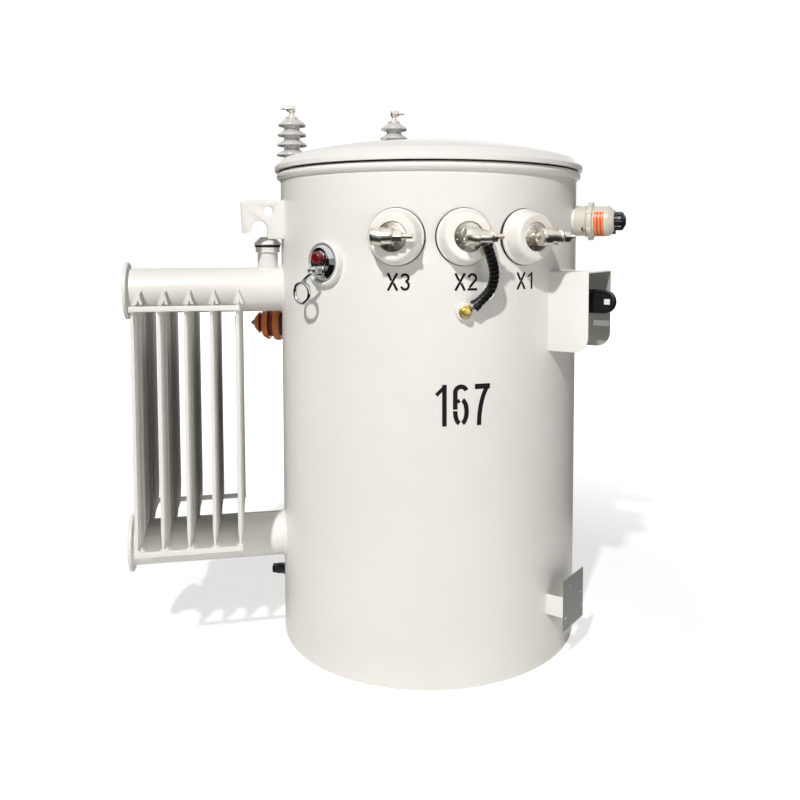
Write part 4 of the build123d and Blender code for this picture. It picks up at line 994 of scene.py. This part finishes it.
plate_low, plate_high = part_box("nameplate")
plate_half = (plate_high.z - plate_low.z) / 2 / mm
plate_wide, plate_back = 46.7, 35.7
plate_outline = rounded([(-plate_wide, -plate_half, 2), (plate_wide, -plate_half, 2),
                         (plate_wide, plate_half, 2), (-plate_wide, plate_half, 2)])
count = len(plate_outline)
plate_levels = [(1.0, plate_back), (1.0, plate_back + 1.1), (0.992, plate_back + 1.6)]
plate_points, plate_faces = skin(np.stack([
    np.column_stack([plate_outline * share, np.full(count, level)]) for share, level in plate_levels]) * mm)
plate_faces += [tuple(range(count)), tuple(range(3 * count - 1, 2 * count - 1, -1))]
plate = put((plate_points, plate_faces), plate_seat)
piece("blank_nameplate", [plate], ["nameplate"], bare_steel, sharp=25.0)
rivet = [(0, 0), (3.0, 0, 0.3), (2.7, 1.3, 1.0), (0, 1.8)]
rivets = [lathed(rivet, plate_seat @ shift(x * mm, y * mm, (plate_back + 1.5) * mm), 24)
          for x, y in ((-18.3, 33.9), (34.6, 2.6), (-38.4, -27.7), (38.4, -27.7))]
piece("nameplate_rivets", rivets, (), zinc_steel, sharp=50.0)
bracket_low, bracket_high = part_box("nameplate_bracket")
foot_turn = 45.5 * mm / tank_r + 0.004
piece("bracket_welds", [
    upright_weld(bracket_angle + sign * foot_turn, bracket_low.z + 1 * mm, bracket_high.z - 1 * mm, 1.8 * mm)
    for sign in (-1, 1)])

# ---------------------------------------------------------------- lifting lugs and pole hangers
# The lugs are cut from 10 mm steel plate and stand at both sides near the top. The hangers are 10 mm plates
# on 8 mm webs, and stand at the back, one above the other. All are welded on and painted with the tank.
lug_low, lug_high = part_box("lifting_lug_left")
lug_half_turn = math.asin(6.2 * mm / tank_r)
web_beads = (-47 * mm, -37 * mm, 37 * mm, 47 * mm)
for side in ("left", "right"):
    node = "lifting_lug_" + side
    middle = wall_angle(node)
    eased("hoisting_lug_" + side, node, 1.0 * mm)
    first, last = middle - lug_half_turn, middle + lug_half_turn
    piece("lug_weld_" + side, [
        upright_weld(first, lug_low.z + 6 * mm, lug_high.z, 3.0 * mm),
        upright_weld(last, lug_low.z + 6 * mm, lug_high.z, 3.0 * mm),
        level_weld(first, last, lug_high.z + 0.5 * mm, 2.6 * mm)])
for level in ("upper", "lower"):
    low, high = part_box("hanger_" + level)
    eased("pole_bracket_" + level, "hanger_" + level, 1.0 * mm)
    piece("hanger_weld_" + level, [
        upright_weld(math.pi + math.asin(bead / tank_r), low.z, high.z, 2.8 * mm) for bead in web_beads])

# ---------------------------------------------------------------- radiator
# Five hollow panels, each two pressed sheets with upright flutes welded at their seams, hang between two
# steel pipes that lead into the tank. Flat bars tie the panels' corners together, and discs close the pipes.
header_low, header_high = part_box("header_upper")
header_r = (header_high.z - header_low.z) / 2
header_end = -header_low.x
header_levels = {level: middle_of("header_" + level).z for level in ("upper", "lower")}
pipe_in, pipe_start = header_r - 3.5 * mm, 326 * mm
pipe_ring = [(pipe_in, pipe_start), (header_r, pipe_start), (header_r, header_end), (pipe_in, header_end)]
pipe_line = rounded(pipe_ring, closed=True)
disc_r = (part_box("header_end_plates")[1].z - header_levels["upper"]) / mm
disc_line = [(0, 0), (disc_r - 7, 0, 1), (disc_r - 5, -1.4, 1), (disc_r, -1.4, 2.2), (disc_r, 6, 2.8),
             (disc_r - 6, 6, 2), (disc_r - 8, 4.6, 1), (0, 4.6)]
panel_names = ["radiator_panel_%d" % number for number in range(1, 6)]
panel_x = [middle_of(name).x for name in panel_names]
neck_seams = [x + edge for x in panel_x for edge in (-2.2 * mm, 2.2 * mm)]
weld_z, weld_y = circle(header_r, 180).T
# Where the pipe meets the tank, the wall's depth is the root of the tank's radius squared less y squared.
wall_depth = np.sqrt(tank_r ** 2 - weld_y ** 2)
foot_spread, rim_spread = 1.015, 1.01
saddle = np.radians(np.linspace(-84, 84, 120))
discs = []
for level, height in header_levels.items():
    pipe_axis = shift(z=height) @ turn("Y", -90)
    piece("header_pipe_" + level, [put(turned(pipe_line, 128), pipe_axis)], ["header_" + level])
    discs.append(lathed(disc_line, pipe_axis @ shift(z=header_end), 128))
    foot = np.column_stack([-wall_depth - 0.8 * mm, weld_y * foot_spread, height + weld_z * foot_spread])
    rim = np.column_stack([
        0 * weld_y - header_end + 1 * mm, weld_y * rim_spread, height + weld_z * rim_spread])
    beads = [weld(foot, 3.2 * mm, (1, 0, 0), closed=True), weld(rim, 2.0 * mm, (1, 0, 0), closed=True)]
    # The necks join the upper pipe from below and the lower one from above.
    facing = saddle + (math.pi if level == "upper" else 0)
    for x in neck_seams:
        arc = np.column_stack([0 * facing + x, header_r * np.sin(facing), height + header_r * np.cos(facing)])
        beads.append(weld(arc, 1.7 * mm, (1, 0, 0)))
    piece("header_welds_" + level, beads)
piece("header_discs", discs, ["header_end_plates"])

bars_low, bars_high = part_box("radiator_tie_bars")
panel_low, panel_high = bars_low.z, bars_high.z
panel_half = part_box("radiator_panel_1")[1].y
seam, flutes = 14 * mm, 5
flute_pitch = 2 * (panel_half - seam) / flutes
half_flute = flute_pitch / 2 - 4 * mm
rise_wide, rise_tall = 6 * mm, 12 * mm
# Across one flute: offsets from its middle, denser where the sheet rises from the seam to the flat.
rise_steps = np.linspace(0, rise_wide, 6)
offsets = np.concatenate([rise_steps - half_flute, [-14 * mm, 0, 14 * mm], half_flute - rise_steps[::-1]])
middles = (np.arange(flutes) - (flutes - 1) / 2) * flute_pitch
across = np.concatenate([[-panel_half], (middles[:, None] + offsets).ravel(), [panel_half]])
end_steps = seam + np.linspace(0, rise_tall, 7)
upward = np.concatenate([[0, 3 * mm], end_steps, [60 * mm, 120 * mm, 180 * mm, (panel_high - panel_low) / 2]])
upward = np.concatenate([panel_low + upward, panel_high - upward[-2::-1]])


def panel_depth(y, z):
    """Half the panel's thickness: 1.5 mm at the seams and 5 mm on the flutes, joined by smooth steps of the
    distance inside a flute's edge, over 6 mm across and 12 mm up."""
    from_middle = (y + flutes * flute_pitch / 2) % flute_pitch - flute_pitch / 2
    inside = np.where(np.abs(y) < panel_half - seam, half_flute - np.abs(from_middle), 0)
    from_end = np.minimum(z - panel_low, panel_high - z) - seam
    return (1.5 + 3.5 * smooth(inside / rise_wide) * smooth(from_end / rise_tall)) * mm


y_grid, z_grid = np.meshgrid(across, upward)
depth_grid = panel_depth(y_grid, z_grid)
both_sides = np.concatenate([np.stack([depth_grid, y_grid, z_grid], axis=-1),
                             np.stack([-depth_grid, y_grid, z_grid], axis=-1)[:, ::-1]], axis=1)
flat_end = both_sides * (0, 1, 1)
panel_shell = skin(np.concatenate([flat_end[:1], both_sides, flat_end[-1:]]))
sheets_upright = np.array([[0, 0, 1, 0], [1, 0, 0, 0], [0, 1, 0, 0], [0, 0, 0, 1]], float)
neck_wide, neck_narrow, neck_half = 126, 52, 1.5
necks = []
for level, edge, sunk in (("upper", panel_high / mm - 2, 4), ("lower", panel_low / mm + 2, 0)):
    mouth = header_levels[level] / mm + sunk
    outline = [(-neck_wide, edge), (neck_wide, edge), (neck_narrow, mouth), (-neck_narrow, mouth)]
    necks.append(slab(outline, -neck_half, neck_half, sheets_upright))

# The two sheets' edges are folded together into a rounded rib, 8 mm wide, that narrows to 4 mm at both ends.
rib_deep = 2.4 * mm
rib_z = np.linspace(panel_low + 0.5 * mm, panel_high - 0.5 * mm, 90)
rib_half = (2.0 + 1.9 * smooth(np.minimum(rib_z - panel_low, panel_high - rib_z) / (55 * mm)))[:, None] * mm
rib_section = squared_oval(rib_half, rib_deep, 0.6, 0.8, 24)
ribs = []
for y in (rib_deep - panel_half, panel_half - rib_deep):
    ribs.append(swept(rib_section, np.column_stack([0 * rib_z, 0 * rib_z + y, rib_z]), (0, 1, 0)))
for number, (name, x) in enumerate(zip(panel_names, panel_x), 1):
    parts = [put(part, shift(x=x)) for part in (panel_shell, *necks, *ribs)]
    piece("fluted_panel_%d" % number, parts, [name], sharp=50.0)
eased("panel_tie_bars", "radiator_tie_bars", 0.8 * mm)

# Small three-cornered gussets close each neck, front and back, where it widens into the panel, and beads
# of weld run up the ribs' feet on the bars.
upper_gusset = ([(-10.5, 0), (10.5, 0), (1.5, 26), (-1.5, 26)], panel_high - 2 * mm, 97 * mm)
lower_gusset = ([(-8, 0), (8, 0), (1, 18), (-1, 18)], header_levels["lower"] + 8 * mm, 85 * mm)
foot_x = np.linspace(-5, 5, 11) * mm
gussets, rib_feet = [], []
for side in (-1, 1):
    for x in panel_x:
        for outline, foot, depth in (upper_gusset, lower_gusset):
            stand = np.array([[1, 0, 0, x], [0, 0, -1, side * depth], [0, 1, 0, foot], [0, 0, 0, 1]])
            gussets.append(slab(outline, -1.5, 1.5, stand))
        for z in (panel_low + 10.5 * mm, panel_high - 10.5 * mm):
            line = np.column_stack([x + foot_x, np.full(11, side * (panel_half + 0.4 * mm)), np.full(11, z)])
            rib_feet.append(weld(line, 2.0 * mm, (0, 0, 1)))
piece("neck_gussets", gussets)
piece("rib_foot_welds", rib_feet)

# ---------------------------------------------------------------- oil filler
# A short pipe with a flange stands on the upper header next to the tank. A chamfered steel cap is screwed
# down on it over a black rubber ring.
filler_seat = shift(middle_of("filler_cap").x, 0, header_levels["upper"])
filler_neck = [
    (18.4, 38), (21.4, 38), (21.4, 81.5, 1), (25.7, 81.5, 0.8), (25.7, 86.2, 0.6), (24.8, 86.6), (24.8, 87.4),
    (25.7, 87.8, 0.6), (25.7, 92.5, 0.8), (18.4, 92.5)]
piece("filler_pipe", [lathed(filler_neck, filler_seat, closed=True)], ["filler_neck"])
ring_corners = [(18.4, 92.5), (27.5, 92.5, 1.5), (27.5, 97.7, 1.5), (18.4, 97.7)]
filler_ring = lathed(ring_corners, filler_seat, closed=True)
piece("filler_seal", [filler_ring], ["filler_gasket"], black_rubber)
filler_lid = lathed([(0, 97.7), (29, 97.7, 0.8), (29, 100.7, 1.5), (15, 114.7, 2), (0, 114.7)], filler_seat)
piece("filler_lid", [filler_lid], ["filler_cap"])
filler_x, filler_y = circle(22 * mm, 120).T
filler_foot = np.column_stack([filler_x, filler_y, np.sqrt(header_r ** 2 - filler_y ** 2) + 0.3 * mm])
piece("filler_weld", [put(weld(filler_foot, 2.4 * mm, (0, 0, 1), closed=True), filler_seat)])

# ---------------------------------------------------------------- high-voltage bushings
# Two tall grey porcelain bushings with four drooping sheds carry the high voltage, one on a pocket at the
# left of the wall, the other on the cover. Each ends in a bronze stud with a cross clamp and screw.
eased("bushing_pocket", "hv_pocket", 1.2 * mm)

# Sky-grey porcelain glaze: a cooler tone than the low-voltage ones and a wet, sharp highlight on every shed.
grey_glaze = surface("sky_grey_glazed_porcelain", "CFCFCB", 0.15, tones=("C6C6C1", "D8D8D5", 33.3, 3),
                     constants={"Coat Weight": 0.4, "Coat Roughness": 0.04})
shed_first, shed_pitch, shed_r, shed_taper = 19, 24, 37, 1.2
shed_corners = [(0, 0), (22, 0, 1.5), (22, 6, 2), (19, 8.5, 1.5)]
for index in range(4):
    level, reach = shed_first + shed_pitch * index, shed_r - shed_taper * index
    shed_corners += [(19, level - 3, 1.5), (reach - 3, level - 5.6, 0.8), (reach - 1.2, level - 6.6, 1.0),
                     (reach, level - 4, 1.4), (reach - 1.2, level - 0.6, 2.0), (19, level + 8, 3.5)]
shed_corners = shed_corners[:-1] + [(18, 101.2, 1), (16.5, 102, 0.5), (0, 102)]


def hexagon(flats, low, high, ease, seat):
    """Hexagonal bar at a place, in mm, by its width across flats, with its upper edge turned to a chamfer: it
    is turned with six sides, and then stands with a flat to the place's X."""
    corner = flats / 2 / math.cos(math.pi / 6)
    profile = [(0, low), (corner, low), (corner, high - ease), (corner - 1.2 * ease, high), (0, high)]
    return lathed(profile, seat @ turn("Z", 30), 6)


for where, degrees in (("left", 180), ("rear", 0)):
    middle = middle_of("hv_bushing_" + where)
    foot = shift(middle.x, middle.y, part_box("hv_bushing_" + where)[0].z)
    sheds = lathed(shed_corners, foot, steps=6)
    piece("shedded_bushing_" + where, [sheds], ["hv_bushing_" + where], grey_glaze, sharp=60.0)
    cross = foot @ shift(z=127 * mm) @ turn("Z", degrees) @ turn("Y", 90)
    stud = [(0, 101.5), (15, 101.5), (15, 106, 1), (10.5, 106.6), (6, 114.5, 1.5), (5.8, 135, 1), (0, 135)]
    screw_seat = cross @ turn("X", 90) @ shift(0, -4 * mm, 6.6 * mm)
    parts = [
        lathed(stud, foot, 48),
        lathed([(0, -8), (8, -8, 1.5), (8, 8, 1), (0, 8)], cross, 48),
        hexagon(12.5, 8, 12.5, 0.8, cross),
        put(turned(thread(2.6, 12, 26, 1.2) * mm, 32), cross),
        lathed([(0, 0), (4.5, 0), (4.5, 3, 0.8), (0, 3)], screw_seat, 24),
    ]
    piece("bushing_stud_" + where, parts, ["hv_terminal_" + where], tinned_bronze, sharp=50.0)

pad_centre = shift(rear_x, rear_y, pad_top)
clamp_ring = [(21.5, -0.2), (27.5, -0.2), (27.5, 6, 1.5), (21.5, 6, 1)]
pad_parts = [lathed(clamp_ring, pad_centre, 64, closed=True)]
for degrees in (45, 135, 225, 315):
    pad_parts.append(hexagon(10, 0, 5, 0.8, pad_centre @ turn("Z", degrees) @ shift(x=32 * mm, z=-0.3 * mm)))
piece("rear_bushing_clamp", pad_parts, (), zinc_steel, sharp=50.0)

# ---------------------------------------------------------------- surge arrester and drain valve
# The arrester's ribbed housing is orange-brown silicone rubber on a small welded bracket, with a steel cone
# tip. The drain is a small black valve near the bottom with a hexagon plug.
arrester_seat = on_wall(wall_angle("arrester_bracket"), middle_of("arrester_bracket").z)
eased("arrester_mount", "arrester_bracket", 0.8 * mm, zinc_steel)

# Silicone rubber: the sheds are a warm orange under a light gloss.
orange_rubber = surface("orange_brown_silicone", "DE7A36", 0.34, tones=("D06A28", "EC8E4E", 16.7, 3),
                        constants={"Coat Weight": 0.3, "Coat Roughness": 0.12})
# The core between the sheds is painted a dark red: painted shade between the sheds.
core_rubber_painted_shade = surface("silicone_core_painted_shade", "6A2418", 0.30, tones=("541A10", "85382A", 16.7, 3))
core = lathed([(0, 6), (30, 6), (33, 22), (31, 38), (22, 52), (19, 60, 1), (0, 60)], arrester_seat)
piece("arrester_core", [core], (), core_rubber_painted_shade)
arrester_rings = [[(26, 9.5), (39.5, 8.5, 2), (41, 16, 3), (39.5, 23.5, 2), (26, 25)],
                  [(24, 37), (38.4, 35.5, 1.8), (38.5, 40, 3), (32, 50, 2.5), (18, 51.5)],
                  [(12, 60), (24.6, 58, 1.5), (24.5, 60.5, 1.5), (13.5, 70, 1.5), (6, 70)]]
piece("arrester_sheds", [lathed(corners, arrester_seat, closed=True) for corners in arrester_rings],
      ["surge_arrester"], orange_rubber, sharp=60.0)
cone = lathed([(0, 59), (13, 59), (13, 66, 1), (9.5, 70.4, 1), (3, 79.5, 1.5), (0, 81)], arrester_seat, 48)
piece("arrester_cone", [cone], ["arrester_tip"], zinc_steel, sharp=50.0)

drain_seat = on_wall(wall_angle("drain_valve"), middle_of("drain_valve").z)
drain_body = lathed([
    (0, -0.8), (17, -0.8), (17, 7, 1.5), (12, 7, 1), (12, 25, 1), (10, 26.5), (0, 26.5)], drain_seat, 64)
piece("drain_plug", [drain_body, hexagon(20, 26, 36, 1.2, drain_seat)], ["drain_valve"], black_moulding,
      sharp=50.0)
